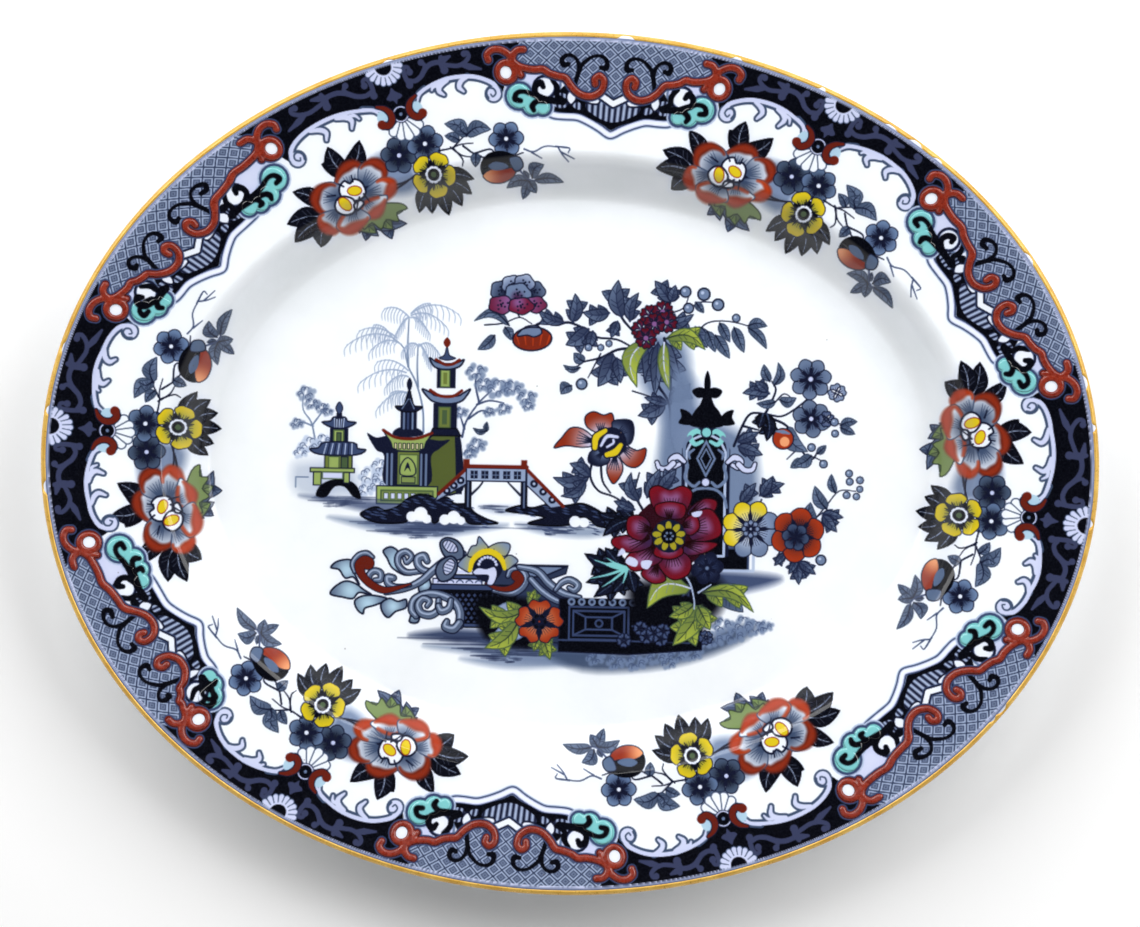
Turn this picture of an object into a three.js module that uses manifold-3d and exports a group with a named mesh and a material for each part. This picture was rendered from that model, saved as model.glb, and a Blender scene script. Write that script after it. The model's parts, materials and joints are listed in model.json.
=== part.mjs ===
// An oval china serving platter, lying on its foot ring: the fired body, the gilt line round its lip,
// and the raised red and turquoise enamel of its six border panels. Millimetres, +Z up, origin under the
// middle of the foot ring, +X along the long axis.
import * as THREE from 'three';
import { mergeVertices } from 'three/addons/utils/BufferGeometryUtils.js';
import Module from 'manifold-3d';

const wasm = await Module();
wasm.setup();

// ---- Driving dimensions -------------------------------------------------------------------------
const LENGTH = 510;
const WIDTH = 416;
const WALL = 5.4; // thickness of the lip, and about that of the rest
const FLOOR_TOP = 8; // upper face of the well
const WELL_DEPTH = 23; // from the shoulder down to the well
const RIM_RISE = 14; // the rim climbs this much from the well's edge to the lip
const SLOPE_START = 56; // inward from the edge, where the shoulder turns down
const SLOPE_RUN = 24; // width of the slope from the shoulder to the well
const FOOT_WIDTH = 6;
const FOOT_CHAMFER = 0.6;
const FOOT_INNER_RUN = 2.4; // the foot's inner side eases into the base over this width
const BASE_Z = 2.5; // underside of the well, inside the foot ring
const DECAL_GAP = 0.3; // clearance between the glaze and what is fired on it
const GILT_THICK = 0.35;
const GILT_FRONT = 2.8; // how far the gilt line reaches in over the front
const GILT_BACK = 1.2;
const ENAMEL_THICK = 0.6;
const SCROLL_WIDTH = 3.2;
const OVAL_SIDES = 96; // facets round the oval
const LIP_FACETS = 5;
const GILT_FACETS = 3;

// The hand-laid border isn't evenly spaced: the middle of each lattice panel along the edge, clockwise from
// the +X end, and how far its left and right red loops lie from there.
const PANELS = [
  [142, 55, 68], [395, 57, 54], [616, 44, 66], [859, 50, 68], [1114, 57, 54], [1357, 63, 55],
];
const LOOP_AT = 55; // where the loop is in the scroll as drawn
const DRAWN_FROM = 24; // the part of the scroll that is drawn out or pressed together
const DRAWN_TO = 46;
const LONG_HALF = 65; // a half longer than this has one more lobe in its shell

const HALF_LENGTH = LENGTH / 2;
const HALF_WIDTH = WIDTH / 2;
const WELL_EDGE = SLOPE_START + SLOPE_RUN;
const SKIN = DECAL_GAP + GILT_THICK; // the gilt line stands this far outside the body
const LIP_RADIUS = WALL / 2;
const CENTRE_ROUND = 100; // within this radius of the centre the oval rings shrink evenly

const GLAZE = { color: 0xf1f4f8, roughness: 0.12, metalness: 0 };
const GILT = { color: 0xc8922e, roughness: 0.35, metalness: 0.6 };
const RED_ENAMEL = { color: 0x8c2a1a, roughness: 0.3, metalness: 0 };
const TURQUOISE_ENAMEL = { color: 0x7fcfc9, roughness: 0.25, metalness: 0 };

// ---- Shape of the platter -----------------------------------------------------------------------
function smoothStep(t) {
  const c = Math.min(Math.max(t, 0), 1);
  return c * c * (3 - 2 * c);
}

// Height of the upper surface at an inward distance from the edge.
function frontHeight(inward) {
  const well = WELL_DEPTH * (1 - smoothStep((inward - SLOPE_START) / SLOPE_RUN));
  const rim = RIM_RISE * Math.max(0, 1 - inward / WELL_EDGE) ** 1.4;
  return FLOOR_TOP + well + rim;
}

// Height of the underside: the upper surface moved outward and down, so that the wall keeps its thickness.
function backHeight(inward) {
  const outward = 0.75 * WALL;
  const down = 0.84 * WALL;
  return frontHeight(inward + outward) - down;
}

// A lathe turns a profile of (radius, height) points, and this stretches its circles into ovals. A
// circle of radius r becomes the oval whose edge lies HALF_WIDTH - r inward of the platter's edge all round.
function ovalSolid(profile) {
  const geometry = new THREE.LatheGeometry(profile, OVAL_SIDES);
  geometry.rotateX(Math.PI / 2);
  const place = geometry.attributes.position;
  for (let i = 0; i < place.count; i++) {
    const radius = Math.hypot(place.getX(i), place.getY(i));
    const stretch = 1 + (HALF_LENGTH - HALF_WIDTH) / Math.max(radius, CENTRE_ROUND);
    place.setX(i, place.getX(i) * stretch);
  }
  return closedMesh(geometry);
}

// Keeps only positions and joins the vertices that coincide, which makes the solid watertight.
function closedMesh(geometry) {
  geometry.deleteAttribute('normal');
  geometry.deleteAttribute('uv');
  const merged = mergeVertices(geometry, 1e-4);
  merged.computeVertexNormals();
  return merged;
}

function profilePoint(inward, height) {
  return new THREE.Vector2(HALF_WIDTH - inward, height);
}

// The lip's half round, from the front over the outermost point to the back, at a distance from the glaze.
function lipArc(steps, offset, from, to) {
  const centreInward = SKIN + LIP_RADIUS;
  const centreHeight = frontHeight(centreInward) - LIP_RADIUS;
  return Array.from({ length: steps + 1 }, (_, i) => {
    const angle = from + ((to - from) * i) / steps;
    const radius = LIP_RADIUS + offset;
    return profilePoint(
      centreInward - radius * Math.sin(angle),
      centreHeight + radius * Math.cos(angle),
    );
  });
}

function bodyProfile() {
  const footOuter = WELL_EDGE - 1;
  const footInner = footOuter + FOOT_WIDTH;
  const underside = [
    new THREE.Vector2(0, BASE_Z),
    profilePoint(footInner + FOOT_INNER_RUN, BASE_Z),
    profilePoint(footInner + FOOT_INNER_RUN / 2, BASE_Z - FOOT_CHAMFER),
    profilePoint(footInner, FOOT_CHAMFER),
    profilePoint(footInner - FOOT_CHAMFER, 0),
    profilePoint(footOuter + FOOT_CHAMFER, 0),
    profilePoint(footOuter, FOOT_CHAMFER),
    profilePoint(footOuter - FOOT_CHAMFER, backHeight(footOuter - FOOT_CHAMFER)),
  ];
  const backStops = [72, 66, 61, 56, 50, 38, 22, 8];
  const frontStops = [8, 20, 34, 47, 54, 59, 63, 67, 71, 75, 79, 84, 100, 150];
  return [
    ...underside,
    ...backStops.map((inward) => profilePoint(inward, backHeight(inward))),
    ...lipArc(LIP_FACETS, 0, Math.PI, 0),
    ...frontStops.map((inward) => profilePoint(inward, frontHeight(inward))),
    new THREE.Vector2(0, FLOOR_TOP),
  ];
}

// A thin band with a curved section that wraps the lip from the back round to the front.
function giltProfile() {
  const frontEnd = Math.asin((SKIN + LIP_RADIUS - GILT_FRONT) / LIP_RADIUS);
  const backEnd = Math.PI - Math.asin((SKIN + LIP_RADIUS - GILT_BACK) / LIP_RADIUS);
  const outside = lipArc(GILT_FACETS, SKIN, backEnd, frontEnd);
  const inside = lipArc(GILT_FACETS, DECAL_GAP, frontEnd, backEnd);
  return [...outside, ...inside, outside[0].clone()];
}

// ---- The border's own coordinates ---------------------------------------------------------------
// "along" runs clockwise round the edge from the +X end, and "inward" from the edge towards the middle.
const TABLE_STEPS = 4096;
const edgeLength = [0];
for (let i = 1; i <= TABLE_STEPS; i++) {
  const middle = ((i - 0.5) / TABLE_STEPS) * 2 * Math.PI;
  const speed = Math.hypot(HALF_LENGTH * Math.sin(middle), HALF_WIDTH * Math.cos(middle));
  edgeLength.push(edgeLength[i - 1] + (speed * 2 * Math.PI) / TABLE_STEPS);
}
const PERIMETER = edgeLength[TABLE_STEPS];

function edgeAngle(along) {
  const wrapped = ((along % PERIMETER) + PERIMETER) % PERIMETER;
  let low = 0;
  let high = TABLE_STEPS;
  while (high - low > 1) {
    const middle = (low + high) >> 1;
    if (edgeLength[middle] <= wrapped) low = middle;
    else high = middle;
  }
  const share = (wrapped - edgeLength[low]) / (edgeLength[high] - edgeLength[low]);
  return (-(low + share) / TABLE_STEPS) * 2 * Math.PI;
}

function onGlaze(along, inward) {
  const angle = edgeAngle(along);
  return new THREE.Vector3(
    (HALF_LENGTH - inward) * Math.cos(angle),
    (HALF_WIDTH - inward) * Math.sin(angle),
    frontHeight(inward),
  );
}

function aboveGlaze(along, inward, lift) {
  const step = 0.5;
  const alongWay = onGlaze(along + step, inward).sub(onGlaze(along - step, inward));
  const inwardWay = onGlaze(along, inward + step).sub(onGlaze(along, inward - step));
  const normal = inwardWay.cross(alongWay).normalize();
  return onGlaze(along, inward).addScaledVector(normal, lift * Math.sign(normal.z));
}

// ---- Enamel solids ------------------------------------------------------------------------------
// An outline round a smooth path, with round ends: a brush stroke of constant width.
function strokeShape(points, width, steps) {
  const curve = new THREE.SplineCurve(points.map(([x, y]) => new THREE.Vector2(x, y)));
  const left = [];
  const right = [];
  for (let i = 0; i <= steps; i++) {
    const centre = curve.getPoint(i / steps);
    const way = curve.getTangent(i / steps);
    const side = new THREE.Vector2(-way.y, way.x).multiplyScalar(width / 2);
    left.push(centre.clone().add(side));
    right.push(centre.clone().sub(side));
  }
  const tip = curve.getPoint(1).addScaledVector(curve.getTangent(1), width / 2);
  const tail = curve.getPoint(0).addScaledVector(curve.getTangent(0), -width / 2);
  return new THREE.Shape([...left, tip, ...right.reverse(), tail]);
}

function discShape(x, y, radius, sides = 12) {
  const corners = Array.from({ length: sides }, (_, i) => {
    const angle = (2 * Math.PI * i) / sides;
    return new THREE.Vector2(x + radius * Math.cos(angle), y + radius * Math.sin(angle));
  });
  return new THREE.Shape(corners);
}

function flatSolid(shape) {
  const geometry = new THREE.ExtrudeGeometry(shape, { depth: ENAMEL_THICK, bevelEnabled: false, steps: 1 });
  return toManifold(closedMesh(geometry));
}

function toManifold(geometry) {
  return new wasm.Manifold(new wasm.Mesh({
    numProp: 3,
    vertProperties: new Float32Array(geometry.attributes.position.array),
    triVerts: new Uint32Array(geometry.index.array),
  }));
}

function fromManifold(solid) {
  const mesh = solid.getMesh();
  const geometry = new THREE.BufferGeometry();
  geometry.setAttribute('position', new THREE.BufferAttribute(new Float32Array(mesh.vertProperties), 3));
  geometry.setIndex(new THREE.BufferAttribute(new Uint32Array(mesh.triVerts), 1));
  return geometry;
}

function joined(shapes) {
  return shapes.map(flatSolid).reduce((sum, next) => sum.add(next));
}

// The right-hand scroll of a panel, drawn flat: x runs outward from the panel's middle, y inward from the
// platter's edge.
function scrollSolid() {
  const spine = [
    [10.6, 24.6], [10.8, 22.2], [8.4, 20.8], [6, 23.2], [7.2, 27.8], [12.2, 30.6], [18.2, 29.9], [23, 26.4],
    [26.2, 22.2], [30, 21.2], [34, 19.8], [37, 17.8], [41, 17.8], [45, 17], [49, 15.4], [51.6, 12.6],
    [53.2, 9.6], [56.6, 7.2], [60.6, 6.8], [63.6, 8.8], [63.4, 11.4],
  ];
  const loop = discShape(LOOP_AT, 17.9, 6, 12);
  loop.holes.push(discShape(LOOP_AT + 0.4, 18.1, 2.9, 8));
  return joined([
    strokeShape(spine, SCROLL_WIDTH, 36),
    loop,
    strokeShape([[51.6, 13], [50.6, 10], [48.4, 8.2], [45.4, 8]], SCROLL_WIDTH, 4),
    strokeShape([[48.4, 15.6], [48.6, 17.6], [47.8, 20]], SCROLL_WIDTH * 0.8, 2),
  ]);
}

// The right-hand cloud-shaped shell of a panel, whose round lobes run together.
function shellSolid(reach) {
  if (reach > LONG_HALF) {
    return joined([
      discShape(59.4, 31, 6), discShape(51.4, 35.8, 4.8, 10), discShape(44.4, 36.8, 4, 8), discShape(38, 35.2, 3.8, 8),
    ]);
  }
  const extra = reach - LOOP_AT;
  return joined([
    discShape(49.8 + extra, 29.8, 5.8),
    discShape(43.4 + extra * 0.8, 34.4, 4.6, 10),
    discShape(37.8 + extra * 0.7, 35.8, 3.4, 8),
  ]);
}

// Where a point of the scroll as drawn goes when its loop is to lie at reach.
function drawnOut(x, reach) {
  const share = Math.min(Math.max((x - DRAWN_FROM) / (DRAWN_TO - DRAWN_FROM), 0), 1);
  return x + share * (reach - LOOP_AT);
}

// Lays a flat solid on the rim beside the middle of a panel: side is 1 for the right half, -1 for the left.
function laidOnRim(solid, panelMiddle, side, reach = LOOP_AT) {
  const geometry = fromManifold(solid);
  const place = geometry.attributes.position;
  for (let i = 0; i < place.count; i++) {
    const lift = DECAL_GAP + place.getZ(i);
    const along = panelMiddle + side * drawnOut(place.getX(i), reach);
    const point = aboveGlaze(along, place.getY(i), lift);
    place.setXYZ(i, point.x, point.y, point.z);
  }
  if (side > 0) flipFaces(geometry);
  geometry.computeVertexNormals();
  return geometry;
}

// A map that mirrors a solid turns its faces inward, and this turns them out again.
function flipFaces(geometry) {
  const corners = geometry.index.array;
  for (let i = 0; i < corners.length; i += 3) {
    [corners[i], corners[i + 1]] = [corners[i + 1], corners[i]];
  }
}

// ---- Assembly -----------------------------------------------------------------------------------
function named(name, geometry, look) {
  const mesh = new THREE.Mesh(geometry, new THREE.MeshStandardMaterial(look));
  mesh.name = name;
  return mesh;
}

function panelEnamels() {
  const enamels = new THREE.Group();
  const scroll = scrollSolid();
  PANELS.forEach(([middle, leftReach, rightReach], panel) => {
    for (const [label, side, reach] of [['left', -1, leftReach], ['right', 1, rightReach]]) {
      const tag = `${panel + 1}_${label}`;
      const shell = shellSolid(reach);
      enamels.add(named(`red_scroll_${tag}`, laidOnRim(scroll, middle, side, reach), RED_ENAMEL));
      enamels.add(named(`turquoise_shell_${tag}`, laidOnRim(shell, middle, side), TURQUOISE_ENAMEL));
    }
  });
  return enamels;
}

const platter = new THREE.Group();
platter.add(named('platter_body', ovalSolid(bodyProfile()), GLAZE));
platter.add(named('gilt_edge_line', ovalSolid(giltProfile()), GILT));
platter.add(panelEnamels());

export default platter;
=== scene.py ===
import json

import bpy
import numpy as np
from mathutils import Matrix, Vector

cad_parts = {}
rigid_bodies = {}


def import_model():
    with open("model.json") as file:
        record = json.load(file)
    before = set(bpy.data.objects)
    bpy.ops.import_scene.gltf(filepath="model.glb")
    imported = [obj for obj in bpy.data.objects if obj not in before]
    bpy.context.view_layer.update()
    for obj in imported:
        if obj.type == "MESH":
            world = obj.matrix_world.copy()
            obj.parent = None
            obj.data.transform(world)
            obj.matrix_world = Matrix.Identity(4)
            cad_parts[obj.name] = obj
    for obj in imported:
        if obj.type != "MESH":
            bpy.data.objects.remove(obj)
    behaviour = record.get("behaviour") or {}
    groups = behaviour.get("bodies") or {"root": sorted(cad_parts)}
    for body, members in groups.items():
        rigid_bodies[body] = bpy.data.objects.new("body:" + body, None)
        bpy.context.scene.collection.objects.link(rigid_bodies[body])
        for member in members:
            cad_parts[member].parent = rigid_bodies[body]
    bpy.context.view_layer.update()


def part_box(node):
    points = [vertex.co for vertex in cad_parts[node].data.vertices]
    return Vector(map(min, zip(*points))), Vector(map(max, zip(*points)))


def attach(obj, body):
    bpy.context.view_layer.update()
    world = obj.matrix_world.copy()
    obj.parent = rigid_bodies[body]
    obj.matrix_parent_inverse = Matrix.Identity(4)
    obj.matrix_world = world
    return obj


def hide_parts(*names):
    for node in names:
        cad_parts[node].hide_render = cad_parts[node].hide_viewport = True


for leftover in list(bpy.data.objects):
    bpy.data.objects.remove(leftover, do_unlink=True)
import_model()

MM = 0.001

# ---- Colours of the print and the enamels, as they look under white light --------------------------
WHITE = np.array([0.955, 0.970, 0.985])
INK = np.array([0.012, 0.014, 0.040])
NAVY = np.array([0.070, 0.088, 0.175])
BLUE = np.array([0.235, 0.290, 0.420])
SLATE = np.array([0.440, 0.510, 0.620])
MIST = np.array([0.720, 0.775, 0.865])
PALE = np.array([0.820, 0.840, 0.935])
HAZE = np.array([0.700, 0.820, 0.880])
DEEP_SLATE = np.array([0.250, 0.310, 0.410])
DUSK = np.array([0.240, 0.260, 0.365])
LEAF_SLATE = np.array([0.350, 0.425, 0.530])
RED = np.array([0.430, 0.125, 0.068])
ORANGE = np.array([0.730, 0.240, 0.095])
PEACH = np.array([0.960, 0.640, 0.430])
YELLOW = np.array([0.890, 0.780, 0.130])
OLIVE = np.array([0.440, 0.490, 0.225])
LEAF_GREEN = np.array([0.610, 0.690, 0.370])
SPRING = np.array([0.700, 0.750, 0.270])
MOSS = np.array([0.290, 0.370, 0.230])
TURQUOISE = np.array([0.520, 0.815, 0.790])
CRIMSON = np.array([0.600, 0.070, 0.130])
PLUM = np.array([0.400, 0.200, 0.400])
MAUVE = np.array([0.560, 0.360, 0.560])


# ---- A small vector painter ------------------------------------------------------------------------
def smooth(points, closed=False, steps=6):
    """More points along a Catmull-Rom curve through the given ones."""
    points = np.asarray(points, float)
    if closed:
        around = np.vstack([points[-1:], points, points[:2]])
    else:
        around = np.vstack([2 * points[0] - points[1], points, 2 * points[-1] - points[-2]])
    before, start, end, after = around[:-3], around[1:-2], around[2:-1], around[3:]
    t = (np.arange(steps) / steps)[None, :, None]
    before, start, end, after = (p[:, None, :] for p in (before, start, end, after))
    curve = 0.5 * (
        2 * start
        + (end - before) * t
        + (2 * before - 5 * start + 4 * end - after) * t**2
        + (3 * start - before - 3 * end + after) * t**3
    )
    curve = curve.reshape(-1, points.shape[1])
    return curve if closed else np.vstack([curve, points[-1:]])


def circle(x, y, radius, sides=20, flat=1.0, turn=0.0):
    angle = np.arange(sides) * 2 * np.pi / sides
    ring = np.column_stack([radius * np.cos(angle), radius * flat * np.sin(angle)])
    return ring @ turned(turn).T + (x, y)


def turned(degrees):
    """The matrix that turns a point anticlockwise."""
    c, s = np.cos(np.radians(degrees)), np.sin(np.radians(degrees))
    return np.array([[c, -s], [s, c]])


def placed(x, y, turn=0.0, size=1.0, flip=False):
    """A map from a motif's own millimetres to the platter's plan."""
    matrix = turned(turn) * size @ np.diag([-1.0 if flip else 1.0, 1.0])
    return lambda points: np.asarray(points, float) @ matrix.T + (x, y)


RUN = 8
BLOCK = 8


class Canvas:
    """The front of the platter in plan, in millimetres from its centre, X right and Y up."""

    def __init__(self, half_length, half_width, pixel):
        self.pixel = pixel
        self.columns = int(np.ceil(half_length / pixel / BLOCK)) * 2 * BLOCK + 1
        self.rows = int(np.ceil(half_width / pixel / BLOCK)) * 2 * BLOCK + 1
        self.x = (np.arange(self.columns) - self.columns // 2) * pixel
        self.y = (np.arange(self.rows) - self.rows // 2) * pixel
        self.colour = np.broadcast_to(WHITE, (self.rows, self.columns, 3)).astype(np.float32)

    def window(self, points, margin):
        low, high = points.min(0) - margin, points.max(0) + margin
        left, right = np.searchsorted(self.x, (low[0], high[0]))
        bottom, top = np.searchsorted(self.y, (low[1], high[1]))
        return slice(bottom, max(top, bottom + 1)), slice(left, max(right, left + 1))

    def edge_field(self, path, radii, rows, cols, reach):
        """How far each pixel of a window lies outside a path drawn with those radii, up to reach."""
        field = np.full((rows.stop - rows.start, cols.stop - cols.start), reach, np.float32)
        radii = np.broadcast_to(radii, len(path))
        for first in range(0, len(path) - 1, RUN):
            run, width = path[first : first + RUN + 1], radii[first : first + RUN + 1]
            part_rows, part_cols = self.window(run, width.max() + reach)
            part_rows = slice(max(part_rows.start, rows.start), min(part_rows.stop, rows.stop))
            part_cols = slice(max(part_cols.start, cols.start), min(part_cols.stop, cols.stop))
            if part_rows.start >= part_rows.stop or part_cols.start >= part_cols.stop:
                continue
            px, py = self.x[part_cols][None, :, None], self.y[part_rows][:, None, None]
            start, way = run[:-1], np.diff(run, axis=0)
            along = (px - start[:, 0]) * way[:, 0] + (py - start[:, 1]) * way[:, 1]
            along = np.clip(along / np.maximum((way**2).sum(1), 1e-9), 0, 1)
            gap = np.hypot(px - start[:, 0] - along * way[:, 0], py - start[:, 1] - along * way[:, 1])
            gap = (gap - width[:-1] - along * np.diff(width)).min(2)
            part = field[
                part_rows.start - rows.start : part_rows.stop - rows.start,
                part_cols.start - cols.start : part_cols.stop - cols.start,
            ]
            np.minimum(part, gap, out=part)
        return field

    def inside(self, outline, rows, cols):
        """Which pixels of a window lie inside a closed outline."""
        crossings = np.zeros((rows.stop - rows.start, cols.stop - cols.start + 1), np.int32)
        y = self.y[rows]
        for (x0, y0), (x1, y1) in zip(outline, np.roll(outline, -1, axis=0)):
            if y0 == y1:
                continue
            cut = np.flatnonzero((y >= min(y0, y1)) & (y < max(y0, y1)))
            at = x0 + (y[cut] - y0) * (x1 - x0) / (y1 - y0)
            column = np.searchsorted(self.x[cols], at)
            np.add.at(crossings, (cut, column), 1)
        return np.cumsum(crossings, axis=1)[:, :-1] % 2 == 1

    def mask_fill(self, outline, soft=0.0):
        rows, cols = self.window(outline, soft + self.pixel)
        reach = soft + self.pixel
        closed = np.vstack([outline, outline[:1]])
        field = self.edge_field(closed, 0.0, rows, cols, reach)
        field = np.where(self.inside(outline, rows, cols), -field, field)
        return rows, cols, np.clip(0.5 - field / (self.pixel + 2 * soft), 0, 1)

    def mask_line(self, path, width, soft=0.0):
        radii = np.broadcast_to(np.asarray(width, float) / 2, len(path))
        reach = soft + self.pixel
        rows, cols = self.window(path, radii.max() + reach)
        field = self.edge_field(path, radii, rows, cols, reach)
        return rows, cols, np.clip(0.5 - field / (self.pixel + 2 * soft), 0, 1)

    def blend(self, rows, cols, mask, colour):
        """Lays a colour, or a colour for each pixel, over a window."""
        part = self.colour[rows, cols]
        part += mask[..., None] * (colour - part)

    def fill(self, outline, colour, soft=0.0, strength=1.0):
        rows, cols, mask = self.mask_fill(outline, soft)
        self.blend(rows, cols, mask * strength, colour)

    def fill_ramp(self, outline, start, end, first, last):
        """A fill whose colour runs from first at the point start to last at the distance of end."""
        rows, cols, mask = self.mask_fill(outline)
        gap = np.hypot(self.x[cols][None, :] - start[0], self.y[rows][:, None] - start[1])
        share = np.clip(gap / max(np.hypot(*np.subtract(end, start)), 1e-6), 0, 1)[..., None]
        share = share * share * (3 - 2 * share)
        self.blend(rows, cols, mask, first * (1 - share) + last * share)

    def line(self, path, width, colour, soft=0.0, strength=1.0):
        rows, cols, mask = self.mask_line(np.asarray(path, float), width, soft)
        self.blend(rows, cols, mask * strength, colour)


class Border:
    """Coordinates of the rim: along, clockwise from the +X end, and inward from the edge."""

    STEPS = 4096

    def __init__(self, half_length, half_width):
        self.half_length, self.half_width = half_length, half_width
        angle = np.linspace(0, 2 * np.pi, self.STEPS + 1)
        step = np.hypot(np.diff(half_length * np.cos(angle)), np.diff(half_width * np.sin(angle)))
        self.length = np.concatenate([[0], np.cumsum(step)])
        self.angle = angle
        self.perimeter = self.length[-1]

    def plan(self, along, inward):
        angle = -np.interp(np.mod(along, self.perimeter), self.length, self.angle)
        x = (self.half_length - inward) * np.cos(angle)
        y = (self.half_width - inward) * np.sin(angle)
        return np.column_stack([x, y])

    def frame(self, middle, side=1):
        """A map from (along, inward) about a place on the edge; side -1 mirrors it."""
        return lambda points: self.plan(
            middle + side * np.asarray(points, float)[:, 0], np.asarray(points, float)[:, 1]
        )

    def inward_at(self, x, y):
        """The inward distance of points in plan, from the family of ovals that the rim is made of."""
        inward = np.zeros(np.broadcast(x, y).shape)
        for _ in range(12):
            a, b = self.half_length - inward, self.half_width - inward
            value = (x / a) ** 2 + (y / b) ** 2 - 1
            slope = 2 * x**2 / a**3 + 2 * y**2 / b**3
            inward = np.clip(inward - value / np.maximum(slope, 1e-9), -30, self.half_width - 40)
        return inward

    def along_at(self, x, y, inward):
        angle = np.arctan2(y / (self.half_width - inward), x / (self.half_length - inward))
        return np.interp(np.mod(-angle, 2 * np.pi), self.angle, self.length)


# ---- Motifs that repeat ----------------------------------------------------------------------------
def stroke(canvas, place, points, width, colour, edge=None, edge_width=0.7, steps=6):
    """A brushed curve, with an outline where edge gives one. width may run from end to end."""
    path = place(smooth(points, steps=steps))
    widths = np.interp(np.linspace(0, 1, len(path)), np.linspace(0, 1, np.size(width)),
                       np.atleast_1d(width))
    if edge is not None:
        canvas.line(path, widths + 2 * edge_width, edge)
    canvas.line(path, widths, colour)


def shape(canvas, place, points, colour, edge=None, edge_width=0.6, closed_steps=5):
    outline = place(smooth(points, closed=True, steps=closed_steps))
    canvas.fill(outline, colour)
    if edge is not None:
        canvas.line(np.vstack([outline, outline[:1]]), edge_width, edge)


def blade(canvas, place, base, tip, width, bend, colour, dark, vein):
    """A pointed leaf, darker at its base and along one half, with a midrib."""
    way = tip - base
    length = np.hypot(*way)
    side = np.array([-way[1], way[0]]) / length
    t = np.linspace(0, 1, 9)
    rib = base + way * t[:, None] + side * (bend * length * np.sin(np.pi * t))[:, None]
    reach = width / 2 * np.sin(np.pi * t**0.75) ** 0.8
    upper, lower = rib + side * reach[:, None], rib - side * reach[:, None]
    outline = place(np.vstack([upper, lower[-2:0:-1]]))
    ends = place(np.array([base, tip]))
    canvas.fill_ramp(outline, ends[0], ends[1], colour * 0.5 + dark * 0.5, colour)
    canvas.fill(place(np.vstack([rib, lower[-2:0:-1]])), dark, strength=0.34)
    canvas.line(np.vstack([outline, outline[:1]]), 0.55, dark)
    canvas.line(place(rib[:-1]), np.linspace(0.8, 0.3, len(rib) - 1), vein)
    for k in (2, 3, 5):
        for edge in (upper, lower):
            canvas.line(place(np.array([rib[k], rib[k + 1] * 0.3 + edge[k + 1] * 0.7])), 0.3,
                        vein * 0.4 + dark * 0.6)


def leaf(canvas, place, base, tip, width, bend=0.0, colour=SLATE, dark=NAVY, lobes=0, vein=PALE):
    """A leaf: plain, or with pairs of pointed lobes that lean towards its tip."""
    base, tip = np.array(base, float), np.array(tip, float)
    way = tip - base
    side = np.array([-way[1], way[0]]) / np.hypot(*way)
    step = np.hypot(*way) / (lobes + 1)
    for k in range(lobes):
        t = 0.08 + 0.62 * k / lobes
        root = base + way * t + side * bend * np.hypot(*way) * np.sin(np.pi * t)
        out = width * 0.56 * np.sin(np.pi * (0.25 + 0.6 * t))
        for turn in (1, -1):
            lobe_tip = root + way / np.hypot(*way) * step * 1.05 + side * turn * out
            blade(canvas, place, root, lobe_tip, 0.66 * np.hypot(step, out), -0.12 * turn, colour, dark,
                  vein)
    blade(canvas, place, base, tip, width * (0.66 if lobes else 1.0), bend, colour, dark, vein)


def petals(canvas, place, centre, radius, count, inner, outer, edge=NAVY, turn=0.0, width=1.0, notch=0.12,
           hatch=3,
           squash=1.0, only=None):
    """A ring of petals, each shaded from the middle out, outlined and hatched at its base."""
    centre = np.array(centre, float)
    half = np.pi / count * width
    for k in range(count) if only is None else only:
        way = np.radians(turn) + 2 * np.pi * k / count
        local = [(0.12, 0), (0.45, -0.62), (0.82, -0.95), (1.0, -0.45), (1.0 - notch, 0), (1.0, 0.45),
                 (0.82, 0.95),
                 (0.45, 0.62)]
        points = [
            centre + radius * r * np.array([np.cos(way + a * half), squash * np.sin(way + a * half)])
            for r, a in local
        ]
        outline = place(smooth(points, closed=True, steps=4))
        middle = place(centre[None])[0]
        tip = place((centre + radius * np.array([np.cos(way), squash * np.sin(way)]))[None])[0]
        canvas.fill_ramp(outline, middle, tip, inner if inner.ndim == 1 else inner[k],
                         outer if outer.ndim == 1 else outer[k])
        for h in range(hatch):
            a = way + half * 0.75 * ((h + 0.5) / hatch * 2 - 1)
            ray = np.array([np.cos(a), squash * np.sin(a)])
            canvas.line(place(centre + radius * np.outer([0.22, 0.62], ray)), [0.5, 0.12], edge)
        canvas.line(np.vstack([outline, outline[:1]]), 0.5, edge)


def flower(canvas, place, centre, radius, count, inner, outer, heart=WHITE, turn=0.0, squash=1.0):
    """A simple open flower of round petals with a dotted heart."""
    middle = place(np.array([centre], float))[0]
    canvas.fill(circle(*middle, radius * 0.6), NAVY)
    petals(canvas, place, centre, radius, count, inner, outer, turn=turn, squash=squash, width=1.04,
           notch=-0.06)
    canvas.fill(circle(*middle, radius * 0.27), NAVY)
    canvas.fill(circle(*middle, radius * 0.12), heart)


def berry(canvas, place, centre, radius, colour=SLATE):
    middle = place(np.array([centre], float))[0]
    canvas.fill(circle(*middle, radius), NAVY)
    canvas.fill(circle(*middle, radius * 0.74), colour)
    canvas.fill(circle(middle[0] - radius * 0.2, middle[1] + radius * 0.2, radius * 0.24), MIST)


# ---- The border: dark and lattice panels by turns --------------------------------------------------
def mirrored(points, closed=False):
    """The whole of a symmetric outline or line from its half, which starts on the mirror line."""
    points = np.asarray(points, float)
    other = points[points[:, 0] > 1e-6] * (-1, 1)
    return np.vstack([points, other[::-1]] if closed else [other[::-1], points])


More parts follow.
